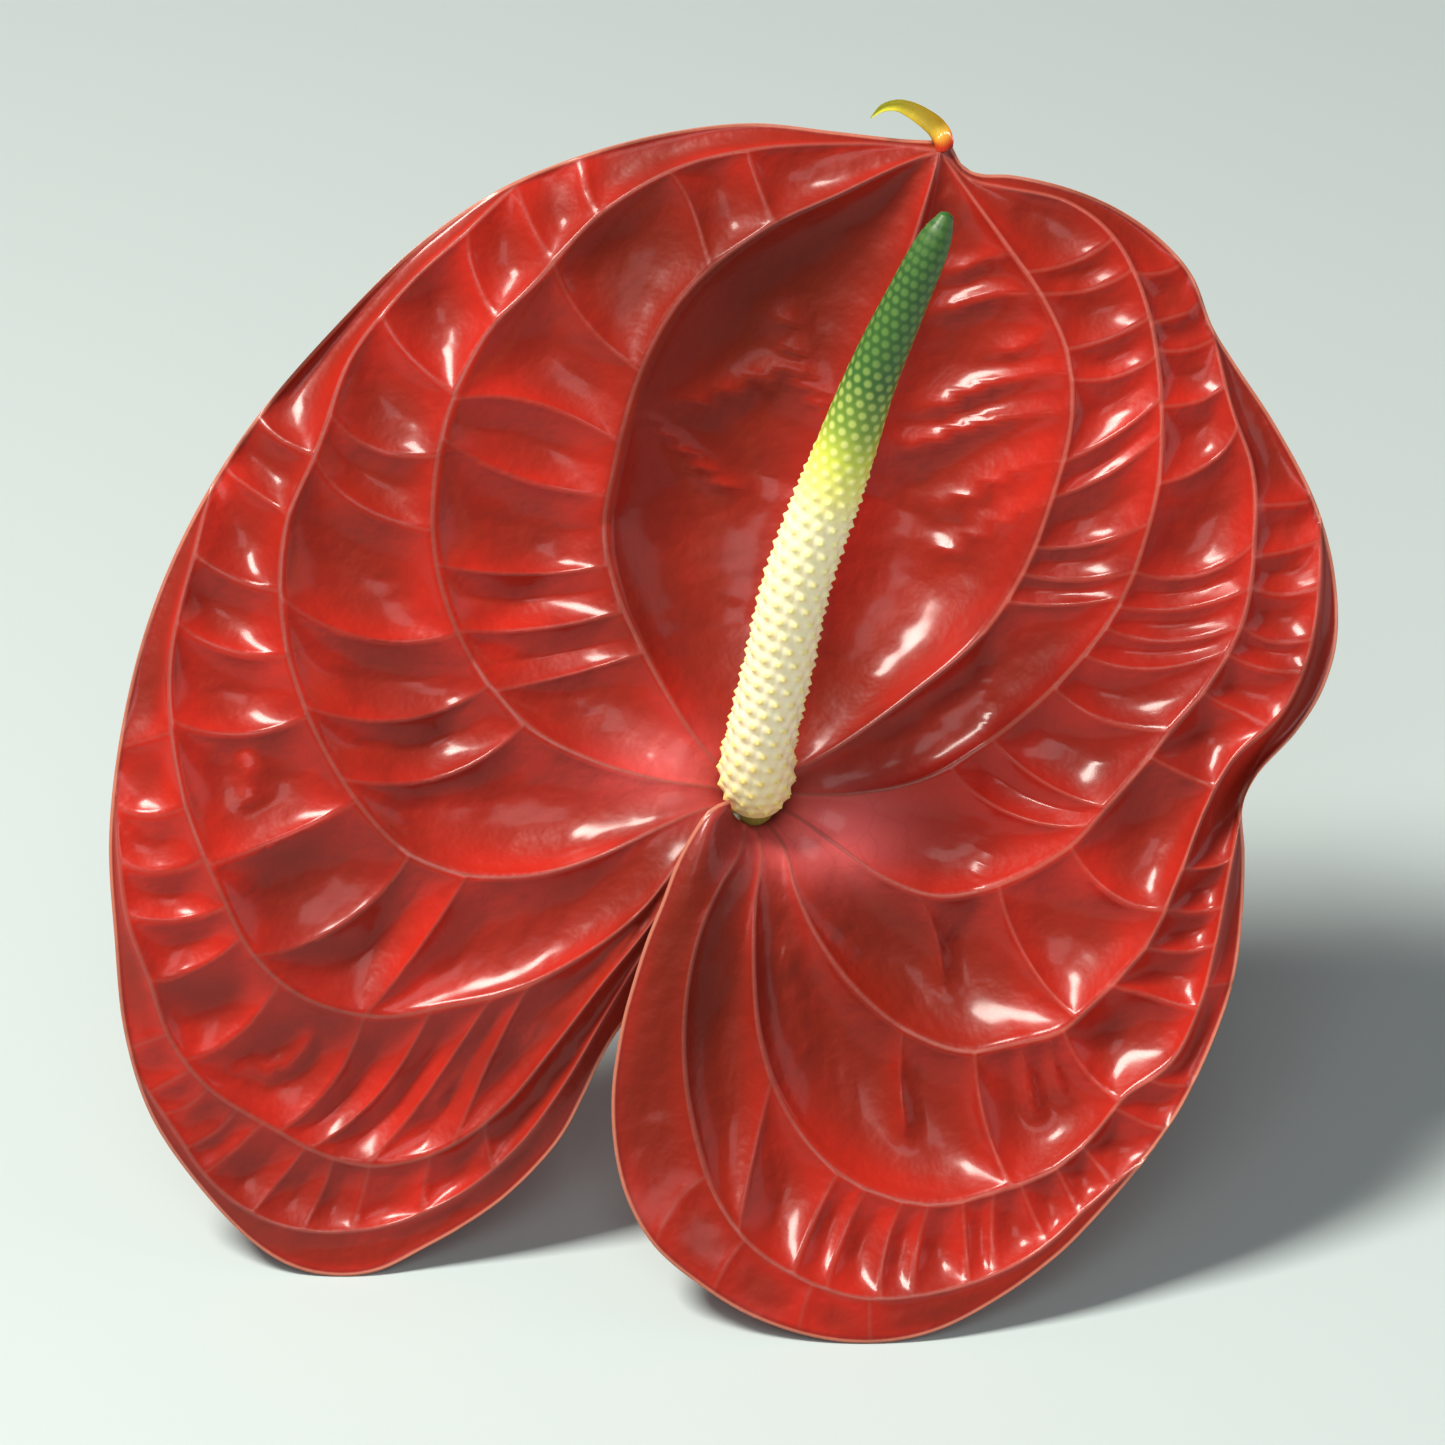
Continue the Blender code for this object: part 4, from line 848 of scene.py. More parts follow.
@dataclass
class Spathe:
    """The heart-shaped bract: a thin blade laid along its own veins, which runs out into the drip tip.

    Lengths are in millimetres. A reach says where something starts and where it is full.
    """

    thickness: float = 0.8
    edge_thickness: float = 0.5
    # The ring round the stem, the circle under the drip tip and the guides between
    ring_centre: Pair = (0.0, 2.8)
    ring_radius: float = 2.6
    ring_reach: float = 8.0
    tip_centre: Pair = (22.8, 81.6)
    tip_radius: float = 1.3
    ring_angles: tuple[float, ...] = (
        244, 234, 224, 211, 186, 159, 132, 75, 38, 12, -16, -54, -79, -104, -190)
    tip_angles: Pair = (165.0, 335.0)
    join_length: float = 9.0
    edge_ease: float = -0.4
    vein_ease: float = 0.2
    # The grid: the columns of a band, the rows, and how both are spread
    columns: int = 12
    rows: int = 421
    tip_rows: int = 44
    guide_rows: int = 1601
    guide_stride: int = 8
    least_row_gap: float = 0.006
    join_margin: float = 0.01
    midrib_samples: int = 1500
    evening_width: int = 25
    even_steps: float = 0.45
    round_steps: float = 0.55
    ring_blend: float = 0.03
    bow_tries: int = 8
    bow_least_step: float = 0.2
    bow_softening: float = 0.7
    # The strengths drawn for the cross veins, and the veins that end inside a band
    strength_seed: int = 11
    strengths: Pair = (0.7, 1.0)
    short_vein_reach: float = 20.0
    short_vein_fade: float = 0.12
    short_vein_ridge: float = 0.55
    short_vein_width: float = 1.7
    short_vein_power: float = 1.3
    # The dish, the bowl, the rim, the troughs with their cross veins, and the cords
    dish_depth: float = 10.5
    bowl_depth: float = 3.6
    rim_drop: float = 2.8
    rim_width: float = 2.4
    trough_depth: float = 4.2
    trough_width: float = 11.0
    outer_trough: float = 0.4
    ridge_share: float = 0.85
    ridge_width: float = 2.8
    cord_height: float = 0.16
    cord_width: float = 0.42
    ring_drop: float = 1.6
    # How the lobes pass each other and flatten, with pairs for the left one and the right one
    overlap_lift: float = 1.4
    edge_lift: float = 3.4
    left_lobe_back: float = 11.9
    right_lobe_forward: float = 3.4
    lobe_lengths: Pair = (58.0, 64.0)
    lobe_fade: float = 45.0
    lobe_stretch: float = 0.18
    lobe_flattening: Pair = (0.15, 0.45)
    # How the large forms rise and fade
    dish_reach: Pair = (0.10, 0.85)
    rim_least: float = 0.25
    rim_gain: float = 0.75
    rim_fade: float = 40.0
    ring_fade: float = 4.0
    passing_power: float = 2.5
    lift_reach: float = 40.0
    bowl_power: float = 0.8
    wall_power: float = 2.3
    trough_power: float = 1.7
    trough_reach: Pair = (3.0, 24.0)
    # Fine relief: swells by height, length and seed, the cross veins' cords and the long folds
    swells: tuple[tuple[float, float, int], ...] = ((0.14, 9.0, 3), (0.05, 3.6, 5))
    cross_cord_share: float = 0.35
    cross_cord_fade: float = 3.0
    fold_height: float = 0.7
    fold_width: float = 1.3
    fold_power: float = 1.4
    fold_points: int = 24
    soft_reach: Pair = (4.0, 16.0)
    calm_edge: float = 3.0
    # The drip tip's turn, in shares of its length, and what its finish reads
    drip_turn: float = 0.35
    drip_settle: float = 0.3
    gutter_half: float = 2.4
    no_vein: float = 9.0
    right_reach: Pair = (-20.0, 60.0)
    # The thickness, the back's raised veins, and how deep the foot is pressed, in metres
    edge_width: float = 3.0
    tip_thinning: float = 0.6
    back_vein_height: float = 0.5
    back_vein_width: float = 0.9
    back_vein_fade: Pair = (0.5, 3.0)
    pressed: float = 0.00025
    # The drip tip's middle line and half widths, and the ovals of painted shade and of painted pink sheen
    drip_line: Points = field(default_factory=lambda: [
        (22.8, 81.6, 6.0), (22.6, 82.6, 6.8), (22.0, 83.5, 7.8), (20.8, 84.4, 9.0), (19.0, 85.4, 10.0),
        (17.3, 85.9, 10.6), (15.6, 85.6, 10.8), (14.1, 84.4, 10.8)])
    drip_widths: tuple[float, ...] = (1.3, 1.25, 1.2, 1.1, 0.95, 0.7, 0.45, 0.06)
    # Ovals of painted shade: middle, half widths and strength
    painted_shade_patches: Ovals = (
        (4.0, 62.0, 18.0, 15.0, 0.8), (-15.0, 68.0, 14.0, 9.0, 0.55), (-11.0, 50.0, 8.0, 12.0, 0.6),
        (-46.0, 38.0, 12.0, 10.0, 0.4), (-7.0, -20.0, 9.0, 22.0, 0.85), (14.0, -18.0, 9.0, 12.0, 0.45),
        (38.0, 66.0, 12.0, 7.0, 0.45), (-4.0, -42.0, 12.0, 12.0, 0.4), (10.0, 14.0, 6.0, 12.0, 0.65),
        (-14.0, 27.0, 4.0, 14.0, 0.5), (18.0, -26.0, 20.0, 18.0, 0.3))
    # Ovals of painted pink sheen on both sides of the stem
    painted_sheen_patches: Ovals = ((-9.5, 6.5, 8.0, 5.0, 0.45), (9.5, -1.0, 8.5, 4.5, 1.0))

    def raise_start(self, line: Points) -> Points:
        """Moves a line's points near the stem up with the ring, by a bell of their distance to the origin."""
        rise = self.ring_centre[1]
        return [(x, y + rise * math.exp(-((math.hypot(x, y) / self.ring_reach) ** 2))) for x, y in line]

    def guides(self, rows: int) -> np.ndarray:
        """The lines that the blade is laid along, from the left edge of the sinus to the right one.

        Each starts on the ring round the stem and ends on a small circle under the drip tip. A vein that
        joins the margin runs on along it, with the margin's own points.

        Args:
            rows: How many points each line gets.

        Returns:
            An array of lines by rows by 2.
        """
        inner = VeinKind.INNER
        drawn = [(inner, SINUS_LEFT + MARGIN_LEFT)] + VEINS + [(inner, SINUS_RIGHT + MARGIN_RIGHT)]
        lines = [(kind, self.raise_start(line)) for kind, line in drawn]
        firsts = [polar(self.ring_radius, degrees, self.ring_centre) for degrees in self.ring_angles]
        turns = np.linspace(*self.tip_angles, len(lines))
        lasts = [polar(self.tip_radius, degrees, self.tip_centre) for degrees in turns]
        edges = [smooth_points([firsts[k]] + lines[k][1] + [lasts[k]], rows, self.edge_ease) for k in (0, -1)]
        guides = []
        for k, (kind, line) in enumerate(lines):
            edge = edges[0] if 2 * k < len(lines) else edges[1]
            if k in (0, len(lines) - 1):
                guides.append(edge)
            elif kind is inner:
                guides.append(smooth_points([firsts[k]] + line + [lasts[k]], rows, self.vein_ease))
            else:
                nearest = int(np.argmin(np.linalg.norm(edge - np.array(line[-1]), axis=1)))
                step = float(np.linalg.norm(edge[nearest + 1] - edge[nearest]))
                row = nearest + round(self.join_length / step)
                free = smooth_points([firsts[k]] + line + [tuple(edge[row])], row + 1)
                guides.append(np.concatenate([free, edge[row + 1:]]))
        return np.array(guides)

    def crossings(self, guides: np.ndarray, band: int) -> np.ndarray:
        """Where the cross veins of a band meet its two guides, and where they are halfway.

        Args:
            guides: The guides, with many rows.
            band: The band's number.

        Returns:
            Rows of three shares of the guides' rows, in order: on the left guide, on the right one, and
            halfway. The place where both guides have joined comes last.
        """
        left, right = guides[band], guides[band + 1]
        count = len(left) - 1
        together = np.linalg.norm(left - right, axis=1) < TOUCHING
        together[0] = False
        joined = int(np.argmax(together)) if together.any() else count
        found = []
        for vein in CROSS_VEINS.get(band, []):
            line = bowed_line(vein)
            a = np.argmin(np.linalg.norm(left[:joined] - line[0], axis=1)) / count
            b = np.argmin(np.linalg.norm(right[:joined] - line[-1], axis=1)) / count
            middle = (left + right)[:joined] / 2
            m = np.argmin(np.linalg.norm(middle - line[len(line) // 2], axis=1)) / count
            found.append((a, b, m))
        kept = [(0.0, 0.0, 0.0)]
        for a, b, m in sorted(found):
            apart = min(a - kept[-1][0], b - kept[-1][1]) > self.least_row_gap
            if apart and max(a, b) < joined / count - self.join_margin:
                kept.append((a, b, m))
        kept.append((joined / count,) * 3)
        return np.array(kept)

    def spread(self, crossings: list[np.ndarray], midrib: np.ndarray) -> tuple[np.ndarray, list[np.ndarray]]:
        """Carries the rows from the midrib outwards, so that each cross vein lies along one row.

        Args:
            crossings: The crossings of each band.
            midrib: The place of each row on the midrib, from 0 to 1.

        Returns:
            The place of each row on every guide, and the rows of each band's cross veins.
        """
        lines = len(crossings) + 1
        middle = lines // 2
        where = np.zeros((lines, len(midrib)))
        where[middle] = midrib
        rows: list[np.ndarray] = [np.array([])] * len(crossings)
        for band in [*range(middle - 1, -1, -1), *range(middle, lines - 1)]:
            known, new = (band + 1, band) if band < middle else (band, band + 1)
            given = crossings[band][:, 1 if band < middle else 0]
            wanted = crossings[band][:, 0 if band < middle else 1]
            row = np.array([int(np.argmin(np.abs(where[known] - value))) for value in given])
            apart = np.concatenate([[True], np.diff(row) > 0])
            given = np.where(np.arange(len(row)) < len(row) - 1, where[known][row], given)
            start = np.append(given[apart], 1.0)
            end = np.append(wanted[apart], 1.0)
            where[new] = np.interp(where[known], start, end)
            rows[band] = row[apart][1:-1]
        return where, rows

    def even_midrib(self, guides: np.ndarray, crossings: list[np.ndarray]) -> np.ndarray:
        """The places of the rows on the midrib that make the widest step between two rows the same."""
        first = np.linspace(0.0, 1.0, self.midrib_samples)
        where, _ = self.spread(crossings, first)
        share = np.linspace(0.0, 1.0, guides.shape[1])
        steps = []
        for line, places in zip(guides, where):
            at = np.stack([np.interp(places, share, line[:, k]) for k in (0, 1)], axis=1)
            steps.append(np.linalg.norm(np.diff(at, axis=0), axis=1))
        window = np.ones(self.evening_width) / self.evening_width
        widest = np.convolve(np.max(steps, axis=0), window, mode="same")
        run = np.concatenate([[0.0], np.cumsum(widest)])
        return np.interp(np.linspace(0.0, 1.0, self.rows), run / run[-1], first)

    def lay(self, guides: np.ndarray) -> tuple[Blade, np.ndarray, np.ndarray]:
        """Lays the grid in the plane.

        A point of a band lies between its two guides by a share across, and along both guides by a share
        that goes from the row's place on the left one to its place on the right one, with the bow of the
        cross veins above and below. Close to the stem the points go round the ring.

        Args:
            guides: The guides, with many rows.

        Returns:
            The blade, and for each row the first and the last column that stand apart.
        """
        crossings = [self.crossings(guides, band) for band in range(len(guides) - 1)]
        where, vein_rows = self.spread(crossings, self.even_midrib(guides, crossings))
        share = np.linspace(0.0, 1.0, guides.shape[1])
        from_ring = guides - np.array(self.ring_centre)
        radius = np.linalg.norm(from_ring, axis=2)
        angle = np.unwrap(np.arctan2(from_ring[..., 1], from_ring[..., 0]), axis=1)
        wanted = np.radians(self.ring_angles)
        angle += (2 * np.pi * np.round((wanted - angle[:, 0]) / (2 * np.pi)))[:, None]
        even = np.linspace(0.0, 1.0, self.columns + 1)
        step = self.even_steps * even + self.round_steps * (1 - np.cos(np.pi * even)) / 2
        draw = np.random.default_rng(self.strength_seed)
        coarse = guides[:, ::self.guide_stride]
        parts: list[dict[str, np.ndarray]] = []
        for band in range(len(guides) - 1):
            u = step[:, None]
            bow = self.bow(crossings[band], vein_rows[band], where[band], where[band + 1])
            tau = (1 - u) * where[band] + u * where[band + 1] + 4 * u * (1 - u) * bow
            corner = [[np.interp(tau, share, guides[line][:, k]) for k in (0, 1)]
                      for line in (band, band + 1)]
            flat = [(1 - u) * corner[0][k] + u * corner[1][k] for k in (0, 1)]
            r = (1 - u) * np.interp(tau, share, radius[band]) + u * np.interp(tau, share, radius[band + 1])
            a = (1 - u) * np.interp(tau, share, angle[band]) + u * np.interp(tau, share, angle[band + 1])
            near = np.exp(-((tau / self.ring_blend) ** 2))
            x = flat[0] + near * (self.ring_centre[0] + r * np.cos(a) - flat[0])
            y = flat[1] + near * (self.ring_centre[1] + r * np.sin(a) - flat[1])
            lines = [np.stack([x[:, row], y[:, row]], axis=1) for row in vein_rows[band]]
            cross, ridge = self.ridges(x, y, lines, draw)
            vein = np.minimum(line_distance(x, y, coarse[band]) if band > 0 else FAR,
                              line_distance(x, y, coarse[band + 1]) if band < len(guides) - 2 else FAR)
            half = (len(guides) - 1) / 2
            parts.append({
                "x": x, "y": y, "across": u + 0 * x, "place": (band + u - half) / half + 0 * x,
                "width": np.hypot(corner[0][0] - corner[1][0], corner[0][1] - corner[1][1]),
                "vein": vein, "cross": cross, "ridge": ridge, "band": np.full(x.shape, float(band)),
                "tau": tau})
        whole = {}
        for key in parts[0]:
            pieces = [part[key][:-1] for part in parts[:-1]] + [parts[-1][key]]
            if key in ("cross", "vein"):
                for left, right in zip(range(len(parts) - 1), range(1, len(parts))):
                    shared = np.minimum(parts[left][key][-1], parts[right][key][0])
                    pieces[right] = np.concatenate([shared[None], pieces[right][1:]])
            whole[key] = np.concatenate(pieces)
        at = np.array([[np.interp(places, share, line[:, k]) for k in (0, 1)]
                       for line, places in zip(guides, where)])
        half = len(guides) // 2
        on_left = np.hypot(*(at[:half] - at[0]).transpose(1, 0, 2)) < JOINED
        on_right = np.hypot(*(at[half + 1:] - at[-1]).transpose(1, 0, 2)) < JOINED
        first = (on_left.sum(axis=0) - 1) * self.columns
        last = (len(guides) - on_right.sum(axis=0)) * self.columns
        return Blade(**whole), np.minimum.accumulate(first[::-1])[::-1], last

    def bow(self, crossings: np.ndarray, rows: np.ndarray, left: np.ndarray,
            right: np.ndarray) -> np.ndarray:
        """How far each row bows between its ends, made less until no row overtakes the next.

        Args:
            crossings: The band's crossings.
            rows: The rows of its cross veins.
            left: The rows' places on the left guide.
            right: The rows' places on the right guide.

        Returns:
            The bow of each row, in the guides' own share.
        """
        count = len(left)
        if len(rows) == 0 or len(rows) != len(crossings) - 2:
            return np.zeros(count)
        wanted = crossings[1:-1, 2] - (left[rows] + right[rows]) / 2
        bow = np.interp(np.arange(count), [0, *rows, count - 1], [0.0, *wanted, 0.0])
        middle = (left + right) / 2
        for _ in range(self.bow_tries):
            if (np.diff(middle + bow) >= self.bow_least_step * np.diff(middle) - TINY).all():
                return bow
            bow = bow * self.bow_softening
        return np.zeros(count)

    def ridges(self, x: np.ndarray, y: np.ndarray, lines: list[np.ndarray],
               draw: np.random.Generator) -> tuple[np.ndarray, np.ndarray]:
        """The distance to the nearest cross vein, and how far the cross veins fill the trough.

        A cross vein's ridge falls off as an exponential of the distance, so its crest is sharp.

        Args:
            x: The points' first coordinates.
            y: The points' second coordinates.
            lines: The band's cross veins, along its rows.
            draw: What draws each vein's strength.

        Returns:
            The distances and the ridges, from 0 to 1.
        """
        near = np.full(x.shape, FAR)
        ridge = np.zeros(x.shape)
        for line in lines:
            away = line_distance(x, y, line)
            near = np.minimum(near, away)
            strength = draw.uniform(*self.strengths)
            ridge = np.maximum(ridge, strength * np.exp(-away / self.ridge_width))
        middle = np.array([x.mean(), y.mean()])
        reach = float(np.hypot(x - middle[0], y - middle[1]).max())
        for vein in SHORT_VEINS:
            line = bowed_line(vein)
            if np.hypot(*(line.mean(axis=0) - middle)) > reach + self.short_vein_reach:
                continue
            away = line_distance(x, y, line)
            near = np.minimum(near, away + self.short_vein_fade)
            short = np.exp(-((away / self.short_vein_width) ** self.short_vein_power))
            ridge = np.maximum(ridge, self.short_vein_ridge * short)
        return near, ridge

    def relief(self, blade: Blade, guides: np.ndarray) -> tuple[np.ndarray, np.ndarray, np.ndarray]:
        """How far each point of the blade stands out of its plane.

        The blade is a shallow dish with a rim that turns back and a deeper bowl on both sides of the
        midrib. Between two veins it sinks in a trough with steep sides and a flatter floor, which the cross
        veins part into cells. A thin cord lies along each main vein. The two lobes pass each other.

        Args:
            blade: The grid in the plane.
            guides: The guides, with many rows.

        Returns:
            The heights, how hollow each point's cell is, and the distance to the margin.
        """
        x, y, u, place = blade.x, blade.y, blade.across, blade.place
        r = np.hypot(x - self.ring_centre[0], y - self.ring_centre[1])
        left = place <= 0.0
        edges = [guides[k][::self.guide_stride] for k in (0, -1)]
        to_edge = np.where(left, line_distance(x, y, edges[0]), line_distance(x, y, edges[1]))
        below = smooth_step(-y, 0.0, self.lobe_fade)
        outwards = r / (r + to_edge) / (1 + self.lobe_stretch * below)
        dish = self.dish_depth * smooth_step(outwards, *self.dish_reach)
        dish = dish * (1 - np.where(left, *self.lobe_flattening) * below)
        turned = self.rim_least + self.rim_gain * smooth_step(y, -self.rim_fade, 0.0)
        rim = -self.rim_drop * np.exp(-to_edge / self.rim_width) * turned
        ring = -self.ring_drop * np.exp(-(r - self.ring_radius) / self.ring_fade)
        side = np.sign(place) * np.abs(place) ** self.passing_power
        left_lobe = -self.left_lobe_back * smooth_step(-y, 0.0, self.lobe_lengths[0])
        right_lobe = self.right_lobe_forward * smooth_step(-y, 0.0, self.lobe_lengths[1])
        lift = np.where(left, self.overlap_lift, self.edge_lift) * np.exp(-((r / self.lift_reach) ** 2))
        passing = side * lift + np.where(left, left_lobe, right_lobe)
        midrib = len(guides) // 2
        inside = np.where(blade.band == midrib - 1, u, np.where(blade.band == midrib, 1 - u, 0.0))
        fullness = np.sin(np.pi * np.clip(blade.tau, 0, 1)) ** self.bowl_power
        bowl = self.bowl_depth * (1 - (1 - inside) ** 2) * fullness
        wall = 1 - np.abs(2 * u - 1) ** self.wall_power
        narrow = np.exp(-((blade.width / self.trough_width) ** self.trough_power))
        depth = self.trough_depth * (1 - narrow)
        depth = depth * smooth_step(r, *self.trough_reach)
        outermost = (blade.band == 0) | (blade.band == blade.band.max())
        depth = np.where(outermost, self.outer_trough * depth, depth)
        hollow = wall * (1 - self.ridge_share * blade.ridge)
        uneven = sum(height * waves(x, y, length, seed) for height, length, seed in self.swells)
        cord = self.cord_height * np.exp(-((blade.vein / self.cord_width) ** 2))
        crossing = self.cross_cord_share * self.cord_height * np.exp(-((blade.cross / self.cord_width) ** 2))
        cord += crossing * np.minimum(1, wall * self.cross_cord_fade)
        gaps = [line_distance(x, y, smooth_points(line, self.fold_points)) for line in FOLDS]
        folds = sum(self.fold_height * np.exp(-((gap / self.fold_width) ** self.fold_power)) for gap in gaps)
        soft = smooth_step(r, *self.soft_reach) * smooth_step(to_edge, 0.0, self.calm_edge)
        z = dish + rim + ring + passing - bowl - depth * hollow + cord + (uneven * wall + folds) * soft
        return z, hollow, to_edge

    def drip_tip(self, blade: Blade, z: np.ndarray) -> tuple[np.ndarray, np.ndarray, np.ndarray, np.ndarray]:
        """The rows beyond the blade: a gutter that curls over to the left.

        At each station the columns lie on a half circle round the gutter's middle line. At the blade it
        lies flat in the plane, open towards the tip, and it turns to open towards the viewer.

        Args:
            blade: The blade's grid in the plane.
            z: Its heights.

        Returns:
            The gutter's x, y and z, as columns by rows, and the share along it.
        """
        line = smooth_points(self.drip_line, self.tip_rows + 1)
        along = np.gradient(line, axis=0)
        along[:, 2] = 0.0
        along /= np.linalg.norm(along, axis=1)[:, None]
        share = np.linspace(0.0, 1.0, self.tip_rows + 1)
        half = np.interp(share, np.linspace(0.0, 1.0, len(self.drip_widths)), self.drip_widths)
        centre = np.array(self.tip_centre)
        angle = np.arctan2(blade.y[:, -1] - centre[1], blade.x[:, -1] - centre[0])
        middle = math.radians(sum(self.tip_angles) / 2)
        psi = np.angle(np.exp(1j * (angle - middle)))[:, None]
        turn = (smooth_step(share, 0.0, self.drip_turn) * math.pi / 2)[None, 1:]
        at, ahead, h = line[None, 1:], along[None, 1:], half[None, 1:]
        side = np.stack([ahead[..., 1], -ahead[..., 0]], axis=-1)
        down = -ahead[..., :2] * np.cos(turn)[..., None]
        x = at[..., 0] + h * (np.sin(psi) * side[..., 0] + np.cos(psi) * down[..., 0])
        y = at[..., 1] + h * (np.sin(psi) * side[..., 1] + np.cos(psi) * down[..., 1])
        settle = smooth_step(share, 0.0, self.drip_settle)[None, 1:]
        z_tip = (1 - settle) * z[:, -1:] + settle * at[..., 2] - h * np.cos(psi) * np.sin(turn)
        return x, y, z_tip, np.broadcast_to(share[None, 1:], x.shape)

    @staticmethod
    def shell(columns: int, rows: int, first: np.ndarray, last: np.ndarray) -> tuple[np.ndarray, np.ndarray]:
        """The faces of the blade: a fine front, a back with every second point, and the strip between.

        Columns that have joined the margin use its points, and triangles without an area are dropped.

        Args:
            columns: The grid's columns, an odd number.
            rows: The grid's rows, an odd number.
            first: For each row, the first column that stands apart.
            last: For each row, the last one.

        Returns:
            The faces, with the back's points numbered after the front's, and each face's material slot.
        """
        column, row = np.meshgrid(np.arange(columns), np.arange(rows), indexing="ij")
        clipped = np.clip(column, first[None, :], last[None, :])
        front = clipped * rows + row
        back_rows = (rows + 1) // 2
        back = columns * rows + (clipped[::2, ::2] // 2) * back_rows + row[::2, ::2] // 2

        def triangles(index: np.ndarray) -> np.ndarray:
            """Two triangles for each cell of a grid of point numbers."""
            a, b = index[:-1, :-1].ravel(), index[1:, :-1].ravel()
            c, d = index[1:, 1:].ravel(), index[:-1, 1:].ravel()
            return np.concatenate([np.stack([a, b, c], axis=1), np.stack([a, c, d], axis=1)])

        def border(index: np.ndarray) -> np.ndarray:
            """The point numbers round the edge of a grid, in order."""
            return np.concatenate([index[0], index[1:, -1], index[-1, -2::-1], index[-2:0:-1, 0]])

        f, b = border(front), border(back)
        f0, f1, f2, b1 = f[::2], f[1::2], np.roll(f, -2)[::2], np.roll(b, -1)
        strip = np.concatenate([np.stack([f0, f1, b], axis=1), np.stack([b, f1, b1], axis=1),
                                np.stack([f1, f2, b1], axis=1)])
        sides = [triangles(front), triangles(back)[:, ::-1], strip]
        faced = (Side.FRONT, Side.BACK, Side.FRONT)
        slots = np.concatenate([np.full(len(part), side.value) for part, side in zip(sides, faced)])
        faces = np.concatenate(sides)
        kept = (faces[:, 0] != faces[:, 1]) & (faces[:, 1] != faces[:, 2]) & (faces[:, 0] != faces[:, 2])
        return faces[kept], slots[kept]

    def build(self, lie: Lie) -> tuple[bpy.types.Object, Lie]:
        """Builds the spathe, and finds where its solid says that the flower stands.

        Args:
            lie: How the flower leans.

        Returns:
            The object, and the lie with the junction's place.
        """
        guides = self.guides(self.guide_rows)
        blade, first, last = self.lay(guides)
        z, hollow, to_edge = self.relief(blade, guides)
        tip_x, tip_y, tip_z, tip_share = self.drip_tip(blade, z)
        x, y = np.hstack([blade.x, tip_x]), np.hstack([blade.y, tip_y])
        z = np.hstack([z, tip_z])
        more = tip_x.shape[1]
        tip = np.hstack([np.zeros(blade.x.shape), tip_share])
        edge_gap = np.minimum(np.abs(blade.place[:, -1:] + 1), np.abs(blade.place[:, -1:] - 1))
        edge_gap = edge_gap * self.gutter_half
        numbers = {
            "vein": np.hstack([blade.vein, np.full(tip_x.shape, self.no_vein)]),
            "cross": np.hstack([blade.cross, np.full(tip_x.shape, self.no_vein)]),
            "rim": np.hstack([to_edge, edge_gap + np.zeros(tip_x.shape)]),
            "hollow": np.hstack([hollow, np.zeros(tip_x.shape)]),
            "tip": tip,
            "right": smooth_step(x, *self.right_reach),
            **self.tones(x, y),
        }
        first = np.append(first, np.full(more, first[-1]))
        last = np.append(last, np.full(more, last[-1]))
        faces, slots = self.shell(*x.shape, first, last)
        gap = numbers["rim"]
        inwards = smooth_step(gap, 0.0, self.edge_width)
        thick = self.edge_thickness + (self.thickness - self.edge_thickness) * inwards
        thick = thick * (1 - self.tip_thinning * tip)
        raised = self.back_vein_height * np.exp(-((numbers["vein"] / self.back_vein_width) ** 2))
        raised = raised * smooth_step(gap, *self.back_vein_fade)
        lie = self.seat(lie, x, y, z, thick)
        front = lie.to_world(x, y, z + thick / 2)
        back = lie.to_world(x, y, self.lowest_near(z) - thick / 2 - raised)[::2, ::2]
        points = np.concatenate([front.reshape(-1, 3), back.reshape(-1, 3)])
        points[:, 2] = np.maximum(points[:, 2], 0.0)
        both = {key: np.concatenate([v.ravel(), v[::2, ::2].ravel()]) for key, v in numbers.items()}
        materials = [SpatheFinish().make(), SpatheBackFinish().make()]
        return add_piece("spathe_blade", points, faces, materials, both, slots), lie

    @staticmethod
    def lowest_near(z: np.ndarray) -> np.ndarray:
        """The least height of each point and its eight neighbours.

        The back has every second point of the grid, so it would otherwise cut through sharp creases of
        the front.

        Args:
            z: The heights of the grid.

        Returns:
            The least heights.
        """
        wide = np.pad(z, 1, mode="edge")
        near = [wide[i:i + z.shape[0], j:j + z.shape[1]] for i in range(3) for j in range(3)]
        return np.min(near, axis=0)

    @staticmethod
    def patches(x: np.ndarray, y: np.ndarray, ovals: Ovals) -> np.ndarray:
        """Soft ovals laid over each other, each a bell of the distance to its middle.

        Args:
            x: The blade's points in its own plane.
            y: Their second coordinates.
            ovals: The middle, the two half widths and the strength of each.

        Returns:
            The share that they cover at each point, from 0 to 1.
        """
        bare = np.ones(x.shape)
        for at_x, at_y, half_x, half_y, share in ovals:
            away = ((x - at_x) / half_x) ** 2 + ((y - at_y) / half_y) ** 2
            bare *= 1 - share * np.exp(-away)
        return 1 - bare

    def tones(self, x: np.ndarray, y: np.ndarray) -> dict[str, np.ndarray]:
        """How far painted shade darkens the red, and how far a painted sheen pales it to pink on both sides
        of the stem.

        Args:
            x: The blade's points in its own plane.
            y: Their second coordinates.

        Returns:
            The two numbers for each point, from 0 to 1, by name.
        """
        ovals = {"shade": self.painted_shade_patches, "flush": self.painted_sheen_patches}
        return {name: self.patches(x, y, patches) for name, patches in ovals.items()}

